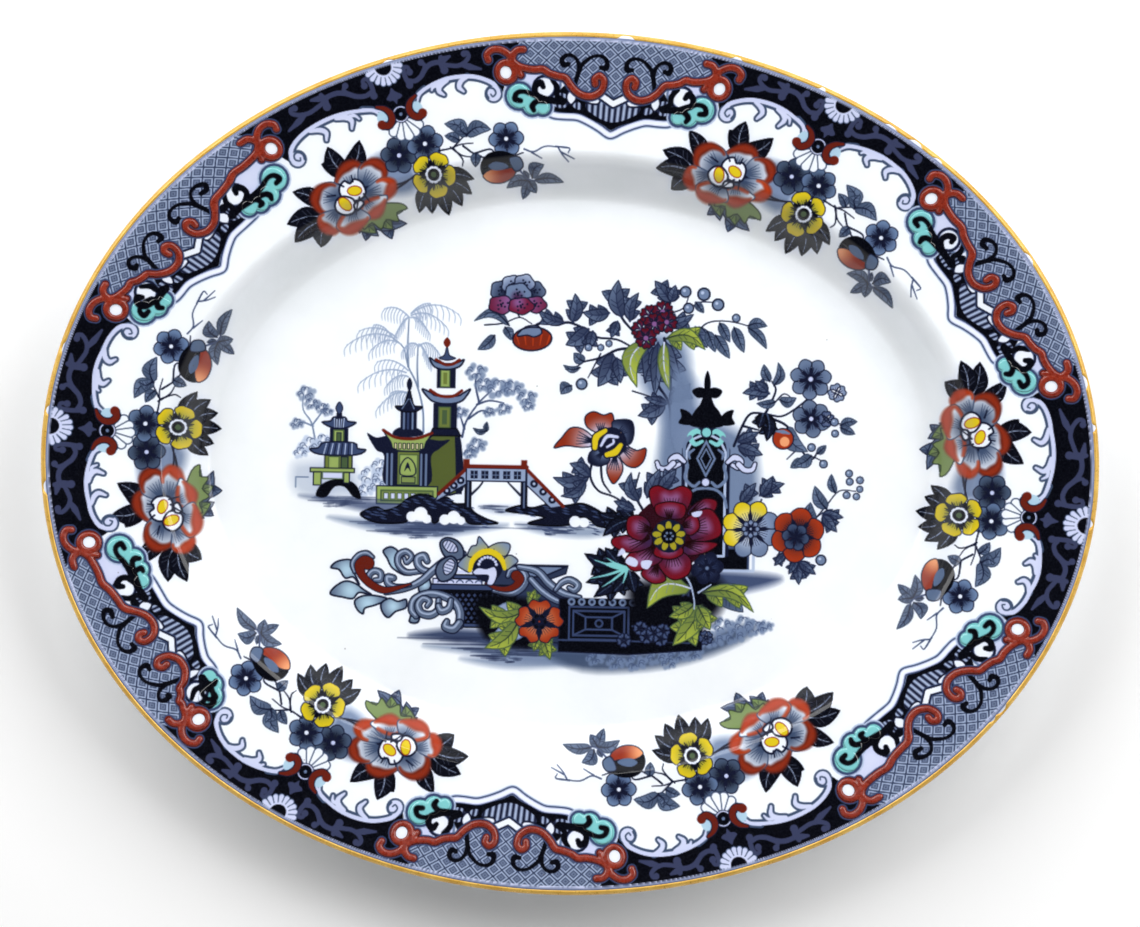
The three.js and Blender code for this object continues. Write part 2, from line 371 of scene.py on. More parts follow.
def stretched(place, start, end, natural, left, right):
    """A map that is drawn out between start and end, so that natural lands on left or on right."""

    def draw_out(along, reach):
        return along + np.clip((along - start) / (end - start), 0, 1) * (reach - natural)

    def warped(points):
        points = np.array(points, float)
        along = points[:, 0]
        points[:, 0] = np.where(along > 0, draw_out(along, right), -draw_out(-along, left))
        return place(points)

    return warped


def half(place, side):
    """The same map for a motif drawn on the side with along >= 0."""
    return lambda points: place(np.asarray(points, float) * (side, 1))


def spot(canvas, place, x, y, radius, colour):
    middle = place(np.array([[x, y]], float))[0]
    canvas.fill(circle(*middle, radius), colour)


def deepened(place, depth):
    """A map that pushes what lies below the daisy further in, except near the red loops."""

    def pushed(points):
        points = np.array(points, float)
        below = np.clip((points[:, 1] - 8) / 9, 0, 1)
        points[:, 1] += depth * below * np.clip((62 - np.abs(points[:, 0])) / 20, 0, 1)
        return place(points)

    return pushed


SCROLL_EDGE = [(58, 26), (56, 22.4), (51, 19.4), (45, 17.4), (38, 16.5), (31, 16.4), (24, 17.2), (17, 18.9),
               (11.5, 20.9), (7.6, 23.4)]
LEFT_LOWER = (0, 1.2)


def dark_ground(canvas, place):
    """The black ground of a dark panel, from the edge band down to the C-scrolls."""
    reach = LOOP_AWAY + 11
    top = np.column_stack([np.linspace(-reach, reach, 40), np.full(40, 4.4)])
    ends = [(reach, 9), (66, 14), (63, 22), (60, 28)]
    neck = [(4.4, 26), (3.6, 29), (3, 32)]
    right = smooth([*ends, *SCROLL_EDGE, *neck])
    left = smooth([(-x, y) for x, y in reversed([*ends, *(np.array(SCROLL_EDGE) + LEFT_LOWER), *neck])])
    canvas.fill(place(np.vstack([top, right, left])), INK)


def c_scroll(canvas, place, barbs):
    """A lavender scroll, slate underneath, with hooked barbs and a curled end."""
    path = smooth(SCROLL_EDGE)
    width = np.interp(np.linspace(0, 1, len(path)), [0, 0.2, 0.5, 0.8, 1], [2.4, 2.0, 2.0, 1.7, 1.1])
    canvas.line(place(path + (0, 1.0)), width + 0.7, DEEP_SLATE)
    spot(canvas, place, 55.6, 27.4, 4.5, DEEP_SLATE)
    hooks = [(place(smooth(points)), sizes) for points, sizes in barbs]
    for extra, colour in ((2.2, DEEP_SLATE), (0, PALE)):
        for hook, sizes in hooks:
            canvas.line(hook, np.interp(np.linspace(0, 1, len(hook)), np.linspace(0, 1, len(sizes)),
                                        sizes) + extra, colour)
    spot(canvas, place, 55.6, 27.4, 3.5, PALE)
    canvas.line(place(path), width, PALE)
    coil = smooth([(52.4, 29.0), (51.8, 26.4), (53.6, 24.4), (56, 25), (56.8, 27.2), (55, 28.6),
                   (54.0, 27.4)])
    canvas.line(place(coil), np.linspace(1.1, 0.7, len(coil)), DEEP_SLATE)


LEFT_BARBS = [
    ([(43, 18.0), (38.8, 19.6), (37.0, 22), (38.6, 25.2)], [1.6, 2.4, 2.2, 1.1]),
    ([(29.6, 17.6), (25.4, 19.0), (23.8, 21.6), (25.4, 25.0)], [2.0, 2.8, 2.2, 1.1]),
    ([(24.6, 19.2), (21.6, 19.6), (20.2, 22.0)], [1.8, 1.6, 0.8]),
    ([(17, 18.6), (12.6, 20.6), (10.8, 23.4)], [1.6, 1.7, 0.8]),
]
RIGHT_BARBS = [
    ([(42.6, 17.2), (38.4, 18.8), (36.8, 21.4), (38.8, 23.8)], [1.6, 2.4, 2.2, 1.0]),
    ([(30.6, 17.2), (26.2, 18.8), (24.8, 21.4), (27, 23.6)], [2.0, 2.8, 2.2, 1.0]),
    ([(25, 18.6), (22, 18.8), (20.8, 20.2)], [1.8, 1.7, 0.9]),
    ([(17, 18.9), (13, 20.8), (11, 23.6)], [1.6, 1.7, 0.8]),
]


ARABESQUE = [
    ([(11.8, 9.8), (11.6, 7.6), (9.8, 7.2), (8.8, 9.6), (9, 13), (9.6, 15.4)], [2.0, 2.0, 2.4, 2.2],
     (1.7, 1.8)),
    ([(9.4, 13.2), (13, 14.2), (17, 13), (20.5, 10.2), (24, 8.6), (28, 8.4), (31, 9.2)], [2.2, 2.6, 2.4],
     ()),
    ([(20, 10.6), (20.8, 8.4), (19.4, 6.8)], [2.2, 1.8], (None, 1.6)),
    ([(30.6, 6.6), (30.4, 9.5), (30.8, 12.4)], [2.4, 3.6, 3.0], (None, 2.0)),
    ([(35.4, 6.8), (32.4, 7.6), (29, 8.6)], [1.4, 3.0, 2.4], ()),
    ([(31, 10), (35, 11), (39, 11.6), (43, 10.6), (45.6, 8.4), (45, 6.4), (43.4, 6.8)],
     [2.2, 2.2, 2.2, 1.9],
     (None, 1.6)),
    ([(41, 11.4), (45, 13), (51, 14.8)], [2.2, 3.2, 1.2], ()),
]


def arabesque(canvas, place):
    """The slate scrollwork on the black ground, for one side."""
    for stem, width, balls in ARABESQUE:
        stroke(canvas, place, stem, width, DUSK)
        for at, ball in zip((0, -1), balls):
            if ball:
                spot(canvas, place, *stem[at], ball, DUSK)


def half_daisy(canvas, place):
    """The pale daisy that hangs from the edge band."""
    count = 9
    for k in range(count):
        way = np.radians(4 + 172 * (k + 0.5) / count)
        ray = np.array([np.cos(way), np.sin(way)])
        petal = place(np.array([0, 3.6]) + np.outer([4.6, 8.4], ray))
        canvas.line(petal, [1.9, 3.2], DEEP_SLATE)
        canvas.line(petal, [1.2, 2.3], PALE)
    for radius, colour in ((5.0, PALE), (4.0, INK)):
        canvas.fill(place(circle(0, 4.2, radius, 24)[:13]), colour)


def fan_and_bead(canvas, place):
    """The fleur, the ringed bead and the fan of white petals between two C-scrolls."""
    shape(canvas, place, [(0, 14.4), (1.6, 16.4), (4.2, 18.6), (3.0, 20.0), (1.2, 20.4), (0, 22.4),
                          (-1.2, 20.4),
                          (-3.0, 20.0), (-4.2, 18.6), (-1.6, 16.4)], DUSK)
    root = np.array([0.0, 28.8])
    for way in (12, 168, 38, 142, 64, 116, 90):
        ray = np.array([np.cos(np.radians(way)), np.sin(np.radians(way))])
        petal = place(root + np.outer([3.4, 8.8 + 0.8 * ray[1]], ray))
        canvas.line(petal, [2.4, 5.2], DEEP_SLATE)
        canvas.line(petal, [1.2, 3.9], WHITE)
    for radius, colour in ((4.2, NAVY), (3.8, PALE), (3.2, INK), (0.8, SLATE)):
        spot(canvas, place, 0, 27.4, radius, colour)


def red_hook(canvas, place):
    """The red C beside the bead, with its round end and the pale gap inside it."""
    shape(canvas, place, [(8.4, 23.6), (11.4, 24), (12.6, 27.4), (9, 28.8), (6.8, 26.6)], HAZE)
    path = [(10.6, 20.8), (7.2, 22.6), (5.2, 25.6), (5.6, 28.8), (8.2, 30.9), (11.2, 30.3)]
    stroke(canvas, place, path, [1.2, 2.2, 2.9, 3.0, 3.0, 3.0], RED, edge=NAVY, edge_width=0.5)
    spot(canvas, place, 11.6, 29.6, 2.2, RED)


LOOP_AWAY = 64.0


def dark_panel(canvas, border, middle, left, right, deeper):
    """A dark panel about its daisy, between red loops at the distances left and right."""
    place = deepened(stretched(border.frame(middle), 10, 52, LOOP_AWAY, left, right), deeper)
    dark_ground(canvas, place)
    for side in (1, -1):
        arabesque(canvas, half(place, side))
    half_daisy(canvas, place)
    c_scroll(canvas, lambda points: place((np.asarray(points, float) + LEFT_LOWER) * (-1, 1)), LEFT_BARBS)
    c_scroll(canvas, place, RIGHT_BARBS)
    fan_and_bead(canvas, place)
    for side in (1, -1):
        red_hook(canvas, half(place, side))


LATTICE_HALF = [(0, 4.4), (16, 4.4), (32, 4.4), (47, 4.4), (49, 8), (52, 13), (47, 18), (38, 19),
                (31, 21.5),
                (27, 25), (21, 29), (14, 31), (8, 28.6), (0, 32.4)]
LATTICE_PITCH = (8.0, 6.8)


def lattice(canvas, border, place, middle, along, inward):
    """Small framed squares on edge, over the whole of a lattice panel's ground."""
    rows, cols, mask = canvas.mask_fill(place(mirrored(LATTICE_HALF, closed=True)))
    u = np.mod(along[rows, cols] - middle + border.perimeter / 2, border.perimeter) - border.perimeter / 2
    a = u / LATTICE_PITCH[0] + inward[rows, cols] / LATTICE_PITCH[1]
    b = u / LATTICE_PITCH[0] - inward[rows, cols] / LATTICE_PITCH[1]
    fall = np.maximum(np.abs(a - np.round(a)), np.abs(b - np.round(b)))
    share = np.interp(fall, [0.0, 0.05, 0.09, 0.16, 0.22, 0.28, 0.34, 0.41, 0.46, 0.5],
                      [0.15, 0.2, 0.5, 0.5, 0.2, 0.25, 0.9, 0.85, 0.1, 0.0])[..., None]
    canvas.blend(rows, cols, mask, BLUE * 0.72 * (1 - share) + MIST * share)


def striped(canvas, border, place, middle, along, outline, pitch):
    """An outline filled with upright stripes."""
    rows, cols, mask = canvas.mask_fill(place(smooth(outline, closed=True, steps=4)))
    u = np.mod(along[rows, cols] - middle + border.perimeter / 2, border.perimeter) - border.perimeter / 2
    phase = u / pitch - np.round(u / pitch)
    share = np.interp(np.abs(phase), [0.0, 0.16, 0.26, 0.36, 0.5], [1.0, 0.8, 0.45, 0.1, 0.0])[..., None]
    canvas.blend(rows, cols, mask, NAVY * (1 - share) + MIST * share)


BLACK_HALF = [(0, 47.3), (3, 46), (6, 44.6), (12, 42.6), (18, 40.2), (25, 39.8), (31, 39.2), (34, 37.4),
              (36.6, 34.2),
              (36, 31), (31, 31), (28, 28), (25, 27), (10, 29)]
BAND_HALF = [(0, 49.6), (2.4, 48.9), (6, 47), (10, 45.2), (15, 43.2), (20, 41.7), (27, 41.4), (32.4, 40.8),
             (35, 39.2),
             (37.4, 36.4)]


def lambrequin(canvas, border, place, middle, along):
    """The black and white hanging that borders a lattice panel below, down to its point."""
    band = place(smooth(mirrored(BAND_HALF), steps=4))
    for width, colour in ((5.2, MIST), (4.2, BLUE), (2.6, PALE), (1.6, WHITE)):
        canvas.line(band, width, colour)
    for side in (1, -1):
        shape(canvas, half(place, side), [(30, 22), (38, 19), (46, 18), (50, 22), (48, 28), (41, 33),
                                          (34, 32),
                                          (29, 28)], PALE, edge=SLATE, edge_width=1.2)
    canvas.fill(place(smooth(mirrored(BLACK_HALF, closed=True), closed=True, steps=3)), INK)
    striped(canvas, border, place, middle, along,
            mirrored([(0, 35.2), (5, 33.6), (10, 33.4), (15, 35), (14.6, 38), (10, 40.8), (5, 42.8),
                      (0, 43.6)], True),
            3.25)
    for side in (1, -1):
        striped(canvas, border, half(place, side), middle, along,
                [(25.6, 31.4), (29.6, 30.4), (33, 32.4), (34.2, 35), (31, 37.2), (26.6, 37.4),
                 (24.6, 34.8)], 2.7)
        striped(canvas, border, half(place, side), middle, along,
                [(17.6, 35.8), (20.4, 34.6), (22.4, 36.4), (20.6, 38), (17.8, 38.2)], 2.7)
        for leaf_outline in (
            [(7.4, 33.4), (10.4, 31), (14.4, 30.4), (18, 31.6), (14.4, 34.8), (9, 35.4)],
            [(22.4, 28.6), (25.2, 30.6), (25.6, 33.6), (23.4, 36), (20.8, 33.6), (20.6, 30.4)],
        ):
            shape(canvas, half(place, side), leaf_outline, WHITE, edge=NAVY, edge_width=0.9)


def chevron(canvas, place):
    """The white V under the lattice."""
    line = place(mirrored([(0, 33.6), (9.8, 28.4)]))
    for width, colour in ((5.0, BLUE), (4.2, NAVY), (2.6, WHITE)):
        canvas.line(line, width, colour)


def black_curls(canvas, place):
    """The forked black curl that lies on the lattice, for one side."""
    stroke(canvas, place, [(22, 27), (20.6, 22.5), (19.2, 18.5), (17.6, 15.5), (13.4, 12.2), (9.4, 11.3),
                           (6.2, 12.4),
                           (5.0, 14.8), (5.6, 17), (8, 16.8)],
           [2.2, 2.2, 2.4, 2.0, 1.6, 1.6, 1.9, 2.4, 2.7, 2.2], INK)
    stroke(canvas, place, [(19.4, 18.5), (20, 14.6), (22.2, 11.9), (25.4, 11.4), (27.8, 13.4), (27, 15.8),
                           (24.8, 15.6)], [2.1, 1.8, 1.7, 1.9, 2.5, 2.8, 2.2], INK)


LONG_HALF = 65.0
LONG_SHELL = [(59.4, 31.0, 6.0), (51.4, 35.8, 4.8), (44.4, 36.8, 4.0), (38.0, 35.2, 3.8)]


def shell_discs(reach):
    """The discs that make a turquoise shell: a longer half has one more."""
    if reach > LONG_HALF:
        return LONG_SHELL
    extra = reach - LOOP_AT
    return [(49.8 + extra, 29.8, 5.8), (43.4 + 0.8 * extra, 34.4, 4.6), (37.8 + 0.7 * extra, 35.8, 3.4)]


def shells(canvas, place, discs):
    """The turquoise ground of a shell, ringed in blue, with its black curls."""
    for extra, colour in ((2.2, MIST), (1.4, BLUE), (0.1, TURQUOISE)):
        for x, y, radius in discs:
            spot(canvas, place, x, y, radius + extra, colour)


def shell_curls(canvas, place, discs):
    """The pale disc above a shell and the black curls that run over both."""
    shift = 0.6 * (discs[2][0] - 37.8) if len(discs) == 3 else 0.0
    for radius, colour in ((6.0, NAVY), (4.9, BLUE), (4.5, WHITE)):
        spot(canvas, place, 37.0 + shift, 26.4, radius, colour)
    (x0, y0, _), (x1, y1, _) = discs[:2]
    stroke(canvas, place, [(27, 33), (31, 30.6), (31, 26.6), (33.6, 22.8)], [2.4, 2.6, 2.8, 2.0], INK)
    stroke(canvas, place, [(28, 33.4), (36, 32.4), (x1 - 2, y1 - 4.4), (x0 - 3, y0 - 2), (x0 + 1, y0 - 1.6),
                           (x0 + 2.4, y0 + 1.2), (x0 - 0.6, y0 + 2.2)], [3.4, 3.2, 2.6, 2.2, 2.4, 2.9, 2.4],
           INK)
    stroke(canvas, place, [(37, 32.4), (42.4, 29.4), (42.6, 25.8), (39.8, 24.2), (38.4, 26.2)],
           [2.4, 2.8, 3.0, 3.4, 2.4], INK)
    stroke(canvas, place, [(35, 33), (x1 - 3, y1 - 1.6), (x1, y1 + 0.4), (x1 - 0.6, y1 + 2.6)],
           [2.6, 2.6, 3.0, 2.2], INK)
    for x, y, _ in discs[2:-1]:
        stroke(canvas, place, [(x - 3, y - 4), (x, y - 2), (x + 0.6, y + 0.6), (x - 1.4, y + 1)],
               [2.2, 2.4, 2.8, 2.0],
               INK)


LOOP_AT = 55.0
SCROLL_WIDTH = 3.2
DRAWN_OUT = (24.0, 46.0)
SCROLL_SPINE = [(10.6, 24.6), (10.8, 22.2), (8.4, 20.8), (6, 23.2), (7.2, 27.8), (12.2, 30.6), (18.2, 29.9),
                (23, 26.4),
                (26.2, 22.2), (30, 21.2), (34, 19.8), (37, 17.8), (41, 17.8), (45, 17), (49, 15.4),
                (51.6, 12.6),
                (53.2, 9.6), (56.6, 7.2), (60.6, 6.8), (63.6, 8.8), (63.4, 11.4)]
SCROLL_CURLS = ([(51.6, 13), (50.6, 10), (48.4, 8.2), (45.4, 8)], [(48.4, 15.6), (48.6, 17.6), (47.8, 20)])
SCROLL_LOOP = (55, 17.9, 6.0)
SCROLL_HOLE = (55.4, 18.1, 2.9)


def scroll_ground(canvas, place):
    """The blue print that shows round the red enamel, the red under it and the white inside its loop."""
    for extra, colour in ((1.8, BLUE), (0.4, RED)):
        for path in (SCROLL_SPINE, *SCROLL_CURLS):
            canvas.line(place(smooth(path, steps=4)), SCROLL_WIDTH + extra, colour)
        spot(canvas, place, *SCROLL_LOOP[:2], SCROLL_LOOP[2] + extra / 2, colour)
    spot(canvas, place, *SCROLL_HOLE[:2], SCROLL_HOLE[2] + 0.3, WHITE)


def lattice_panel(canvas, border, middle, reaches, along, inward):
    """A lattice panel, whose red loops lie at the two distances in reaches."""
    place = stretched(border.frame(middle), *DRAWN_OUT, LOOP_AT, *reaches)
    lambrequin(canvas, border, lambda points: place(np.asarray(points, float) - (0, 1.2)), middle, along)
    lattice(canvas, border, place, middle, along, inward)
    chevron(canvas, place)
    for side, reach in ((-1, reaches[0]), (1, reaches[1])):
        discs = shell_discs(reach)
        plain = half(border.frame(middle), side)
        shells(canvas, plain, discs)
        shell_curls(canvas, plain, discs)
        black_curls(canvas, half(place, side))
        scroll_ground(canvas, half(place, side))


EDGE_BANDS = ((2.0, 4.9, PALE), (2.5, 3.3, BLUE))
PANELS = ((142, 55, 68), (395, 57, 54), (616, 44, 66), (859, 50, 68), (1114, 57, 54), (1357, 63, 55))
DAISY_MIDDLES = (26, 277, 510, 743, 997, 1229)
DEEPER = (4.0, 0, 0, 3.6, 0.6, 0)


def paint_border(canvas, border, along, inward):
    rows, cols = slice(0, canvas.rows), slice(0, canvas.columns)
    for near, far, colour in EDGE_BANDS:
        band = np.clip((inward - near) / canvas.pixel + 0.5, 0,
                       1) * np.clip((far - inward) / canvas.pixel + 0.5, 0, 1)
        canvas.blend(rows, cols, band, colour)
    for k, middle in enumerate(DAISY_MIDDLES):
        before, after = PANELS[k - 1], PANELS[k]
        left = np.mod(middle - before[0], border.perimeter) - before[2]
        right = after[0] - middle - after[1]
        dark_panel(canvas, border, middle, left, right, DEEPER[k])
    for middle, *reaches in PANELS:
        lattice_panel(canvas, border, middle, reaches, along, inward)


# ---- Flowers, leaves and twigs ---------------------------------------------------------------------
LEAF_LOOKS = {
    "slate": (SLATE * 0.95, DEEP_SLATE * 0.8, NAVY, 0),
    "pale": (MIST, SLATE, PALE, 0),
    "toothed": (SLATE * 0.9, NAVY * 0.8 + BLUE * 0.2, NAVY * 0.5 + BLUE * 0.5, 2),
    "ink": (INK * 0.6 + NAVY * 0.4, INK, MIST * 0.8, 0),
    "jagged": (NAVY, INK, DEEP_SLATE, 2),
    "green": (SPRING, MOSS, PALE, 0),
    "moss": (LEAF_GREEN * 0.6 + MOSS * 0.4, NAVY * 0.5 + MOSS * 0.5, MOSS * 0.6, 2),
    "vine": (SPRING, MOSS, MOSS * 0.5 + NAVY * 0.3, 2),
}


def leaves(canvas, place, rows):
    """Leaves, each given as look, root x and y, tip x and y, width and bend."""
    for look, x0, y0, x1, y1, width, bend in rows:
        colour, dark, vein, lobes = LEAF_LOOKS[look]
        leaf(canvas, place, (x0, y0), (x1, y1), width, bend, colour, dark, lobes, vein)


def twigs(canvas, place, rows, width=0.8, colour=NAVY):
    for points in rows:
        stroke(canvas, place, points, [width, width * 0.6], colour, steps=4)


def berries(canvas, place, rows, colour=SLATE):
    for x, y, radius in rows:
        berry(canvas, place, (x, y), radius, colour)


def wash(canvas, place, outline, soft, strength=0.75, colour=SLATE):
    """A soft shadow of thin colour."""
    canvas.fill(place(smooth(outline, closed=True, steps=4)), colour, soft, strength)


def free_petal(canvas, place, outline, start, end, inner, outer, hatch=3, edge=NAVY, shine=None):
    """One petal of its own shape, shaded from start to end, with strokes that fan out from its root."""
    path = place(smooth(outline, closed=True, steps=5))
    first, last = place(np.array([start, end], float))
    canvas.fill_ramp(path, first, last, inner, outer)
    if shine is not None:
        middle = path.mean(0)
        canvas.fill(middle + (path - middle) * 0.45, shine, 1.4, 0.7)
    way = np.subtract(end, start).astype(float)
    side = np.array([-way[1], way[0]])
    for k in range(hatch):
        lean = (k + 0.5) / hatch - 0.5
        canvas.line(place(start + np.outer([0.08, 0.55], way + side * lean * 0.9)), [0.9, 0.2], edge)
    canvas.line(np.vstack([path, path[:1]]), 0.6, edge)


# ---- The spray that hangs in from each dark panel --------------------------------------------------
SPRAY_INWARD = 58.0
SPRAY_PETALS = [
    ([(-39, -3), (-43, -7), (-38, -13.4), (-30, -15), (-26.5, -9), (-31, -4)], (-35, -1), (-35, -16), RED),
    ([(-31, -5), (-29, -12), (-22, -13.4), (-17, -8.4), (-19, -2.6), (-26, -2)], (-31, -2), (-18, -12),
     RED),
    ([(-43, 2), (-46, 7), (-53, 5), (-55.4, -2), (-51, -8), (-44, -8.6), (-40, -4)], (-42, 0), (-56, -5),
     RED),
    ([(-28, -1), (-20, -4), (-15, -0.6), (-18, 4), (-25, 8), (-30, 4)], (-31, 1), (-15, 3), ORANGE),
    ([(-29, 4), (-20, 4.6), (-25, 10), (-32, 11.6), (-35, 7)], (-32, 2), (-27, 12), ORANGE),
    ([(-44, 5), (-45, 12), (-50, 14.4), (-55, 10), (-54, 5)], (-44, 4), (-54, 13), ORANGE),
    ([(-35, 7), (-31, 12), (-38, 14.6), (-45, 15.4), (-48, 12), (-42, 7)], (-38, 5), (-40, 17), ORANGE),
]


def petal_rim(canvas, place, outline, end, width, colour):
    """Strong colour just inside the part of a petal's rim that is nearest to its end."""
    path = smooth(outline, closed=True, steps=6)
    away = np.hypot(*(path - end).T)
    path = np.roll(path, -int(np.argmax(away)), axis=0)
    away = np.hypot(*(path - end).T)
    near = away <= np.median(away) * 1.12
    rim = path[near] + (path.mean(0) - path[near]) * 0.14
    canvas.line(place(rim), np.interp(away[near], [away.min(), away[near].max()], [width, 0.5]), colour,
                0.7)


def spray_peony(canvas, place):
    """The red-rimmed white flower with two yellow hearts."""
    shape(canvas, place, [(-52, -4), (-40, -9), (-28, -9), (-20, -4), (-24, 5), (-36, 11), (-50, 9)], NAVY)
    for outline, start, end, rim in SPRAY_PETALS:
        free_petal(canvas, place, outline, start, end, DEEP_SLATE, WHITE, 5, DEEP_SLATE)
        petal_rim(canvas, place, outline, end, 5.4, rim * 0.8)
        petal_rim(canvas, place, outline, end, 3.4, rim * 0.5 + ORANGE * 0.5)
    for outline in (
        [(-41, -5), (-38, -7.4), (-35.6, -5.6), (-33, -7), (-30, -4.6), (-29.4, 0.6), (-33, 3), (-38, 2.4),
         (-41.4, -1)],
        [(-44.6, 1), (-41, -0.6), (-36.6, 1.6), (-36, 5), (-38, 8), (-42.4, 8), (-45.6, 5)],
        [(-36.6, 4.6), (-33, 3.4), (-32, 5.4), (-36, 7.4)],
    ):
        shape(canvas, place, outline, WHITE, edge=NAVY, edge_width=1.0)
    for x, y, long, turn in ((-34.4, -1.6, 3.5, 12), (-40.6, 3.2, 3.7, 60)):
        body = circle(x, y, long, 16, 0.66, turn)
        canvas.fill(place(body), YELLOW)
        canvas.line(place(np.vstack([body, body[:1]])), 0.5, ORANGE * 0.8)
    twigs(canvas, place, [[(-33, 2), (-35, 5), (-37, 9)], [(-30.6, 1), (-29, 5)], [(-44, -2), (-48, -2.6)],
                          [(-39, -5), (-41, -7)], [(-34, -6), (-34, -9)]], 0.9)


def yellow_flower(canvas, place, x, y, size, count=5, turn=18):
    """A flower of yellow petals with dark strokes at their roots and a white ring about its dark heart."""
    spot(canvas, place, x, y, size * 0.66, INK)
    petals(canvas, place, (x, y), size, count, OLIVE, YELLOW, turn=turn, width=0.98, notch=0.0, hatch=5)
    for radius, colour in ((0.44, NAVY), (0.38, WHITE), (0.27, INK), (0.13, MOSS)):
        spot(canvas, place, x, y, size * radius, colour)
    for k in range(count * 2):
        way = np.radians(turn + 180 * (2 * k + 1) / (2 * count))
        ray = np.array([np.cos(way), np.sin(way)])
        canvas.line(place(np.array([x, y]) + size * np.outer([0.4, 0.66], ray)), [1.0, 0.3], INK)


def spray(canvas, border, middle, shift, deeper):
    """A spray of flowers: x runs clockwise along the edge and y inward, from a place under the daisy."""
    before, centre, after = border.plan(middle + shift + np.array([-1.0, 0.0, 1.0]), SPRAY_INWARD + deeper)
    ahead = (after - before) / np.hypot(*(after - before))
    inner = np.array([ahead[1], -ahead[0]])

    def place(points):
        points = np.asarray(points, float)
        return centre + points[:, :1] * ahead + points[:, 1:2] * inner

    wash(canvas, place, [(-24, -13), (-12, -15), (-4, -8), (-6, 5), (-16, 5), (-24, -2)], 2.0, 0.9)
    leaves(canvas, place, [
        ("ink", -37, -11, -46, -18, 9, 0.12), ("ink", -37, -11, -41, -25, 9.5, -0.10),
        ("ink", -36, -11, -25.5, -24, 9.5, 0.14), ("ink", -52, 0, -63, -9, 8, 0.1),
        ("ink", -52, -1, -55, -9, 5, 0), ("ink", -53, 6, -70, 5, 9.5, 0.08),
        ("ink", -53, 8, -69, 14, 9, 0.1),
        ("ink", -52, 9, -58, 19, 9.5, 0.08), ("toothed", -38, 10, -30, 21, 10, 0),
        ("toothed", -34, 9, -15, 19, 12, 0.1),
        ("moss", -42, 12, -15, 13, 17, -0.1), ("ink", 1, 6, -7.5, 15.5, 6.5, 0.1),
        ("ink", 3, 7, -1.6, 17.5, 7, 0.1),
        ("ink", 6, 6, 6, 20.5, 7.5, 0), ("ink", 8, 6, 13.4, 18, 7.5, -0.1),
        ("ink", 9, 5, 19.5, 14, 7, -0.1),
        ("ink", 8, 3, 22.5, 8, 6.5, -0.1),
    ])
    shape(canvas, place, [(-40, 8), (-41, 12), (-36.6, 12.6), (-35.6, 16.4), (-31, 14.4), (-27.6, 18.4),
                          (-24, 14.8),
                          (-18.6, 17), (-18, 13), (-12.6, 12.4), (-16, 9), (-28, 7)],
          LEAF_GREEN * 0.6 + MOSS * 0.4,
          edge=MOSS * 0.6, closed_steps=3)
    twigs(canvas, place, [[(-24, -2), (-14, 1), (-5, 0)], [(-22, 4), (-12, 2), (-4, -1)]], 1.2)
    spray_peony(canvas, place)
    flower(canvas, place, (-9, -12), 8.4, 6, INK, LEAF_SLATE * 0.8, PALE, 20)
    flower(canvas, place, (4.6, -14), 8.4, 6, INK, LEAF_SLATE * 1.1, WHITE, 0)
    twigs(canvas, place, [[(10, -9), (16, -8.5), (21, -9), (27, -8)], [(17, -8.5), (20, -2), (19, 1)],
                          [(16, -9), (20, -4), (24, -2)], [(18, -9), (23, -12), (25, -13)]], 0.9)
    twigs(canvas, place, [[(22, -8), (26, -3), (30, 0), (38, 2)], [(26, -3), (34, -3), (36, 0)],
                          [(36, 0), (43, 3), (49, 3)], [(26, -3), (29, -1)]], 1.0)
    leaves(canvas, place, [
        ("slate", 25, -12, 16.5, -20.5, 7, 0.2), ("slate", 21, -11, 15, -15, 4.5, 0.1),
        ("slate", 25, -12.5, 37, -12, 7, -0.2), ("slate", 27, -3, 25, 3, 4.5, 0),
        ("slate", 25, -13, 24.6, -19, 5, -0.3),
        ("slate", 48, 16, 37, 16, 5, 0.15), ("slate", 48, 16, 43, 23, 4.5, 0),
        ("slate", 48, 16, 50, 22, 4.5, 0),
        ("slate", 50, 15, 57, 11, 6, -0.25), ("slate", 51, 16.5, 64, 21, 4.5, -0.1),
        ("slate", 48, 15, 47, 11, 2.6, 0),
    ])
    twigs(canvas, place, [[(45, 10), (48, 15), (52, 17)], [(50, 1.5), (54, 4), (60, 3), (66, 5), (71, 7)],
                          [(53, 4), (57, 8)], [(66, 5), (67, 9), (69, 13)], [(67, 8), (72, 12.5)],
                          [(65, 4.5), (71, 7), (70, 9)]], 0.85, BLUE)
    yellow_flower(canvas, place, 4.5, 1.2, 10.6)
    flower(canvas, place, (43, -5.6), 8.0, 6, NAVY, LEAF_SLATE * 1.2, WHITE, 12)
    shape(canvas, place, [(27, 7), (28, 2.2), (32.6, -1.2), (39, -0.8), (44, 2.4), (45.6, 6), (43, 8.6),
                          (36, 8), (30, 9.4)],
          INK)
    bud = place(smooth([(27.6, 7.4), (32, 6.2), (38, 7.6), (43.6, 8.4), (42, 11.8), (36.4, 13.4),
                        (30.8, 12.2),
                        (27.8, 9.6)], closed=True, steps=4))
    canvas.fill_ramp(bud, *place(np.array([(28, 8), (38, 11)], float)), PEACH, RED * 0.4 + ORANGE * 0.6)
    canvas.line(np.vstack([bud, bud[:1]]), 0.5, NAVY)
    shape(canvas, place, [(31, 4.4), (34.4, 3.4), (38.6, 5), (40.4, 7.2), (37, 7.8), (33, 6.8)], LEAF_SLATE)
    shape(canvas, place, [(42, 3.6), (46.6, 4.4), (47.4, 8.8), (43.6, 10.4), (41.8, 7.4)], LEAF_SLATE,
          edge=NAVY)


# ---- The scene in the middle: buildings on the left ------------------------------------------------
def flat(points):
    """The plan itself, for motifs that are drawn in the platter's own millimetres."""
    return np.asarray(points, float)


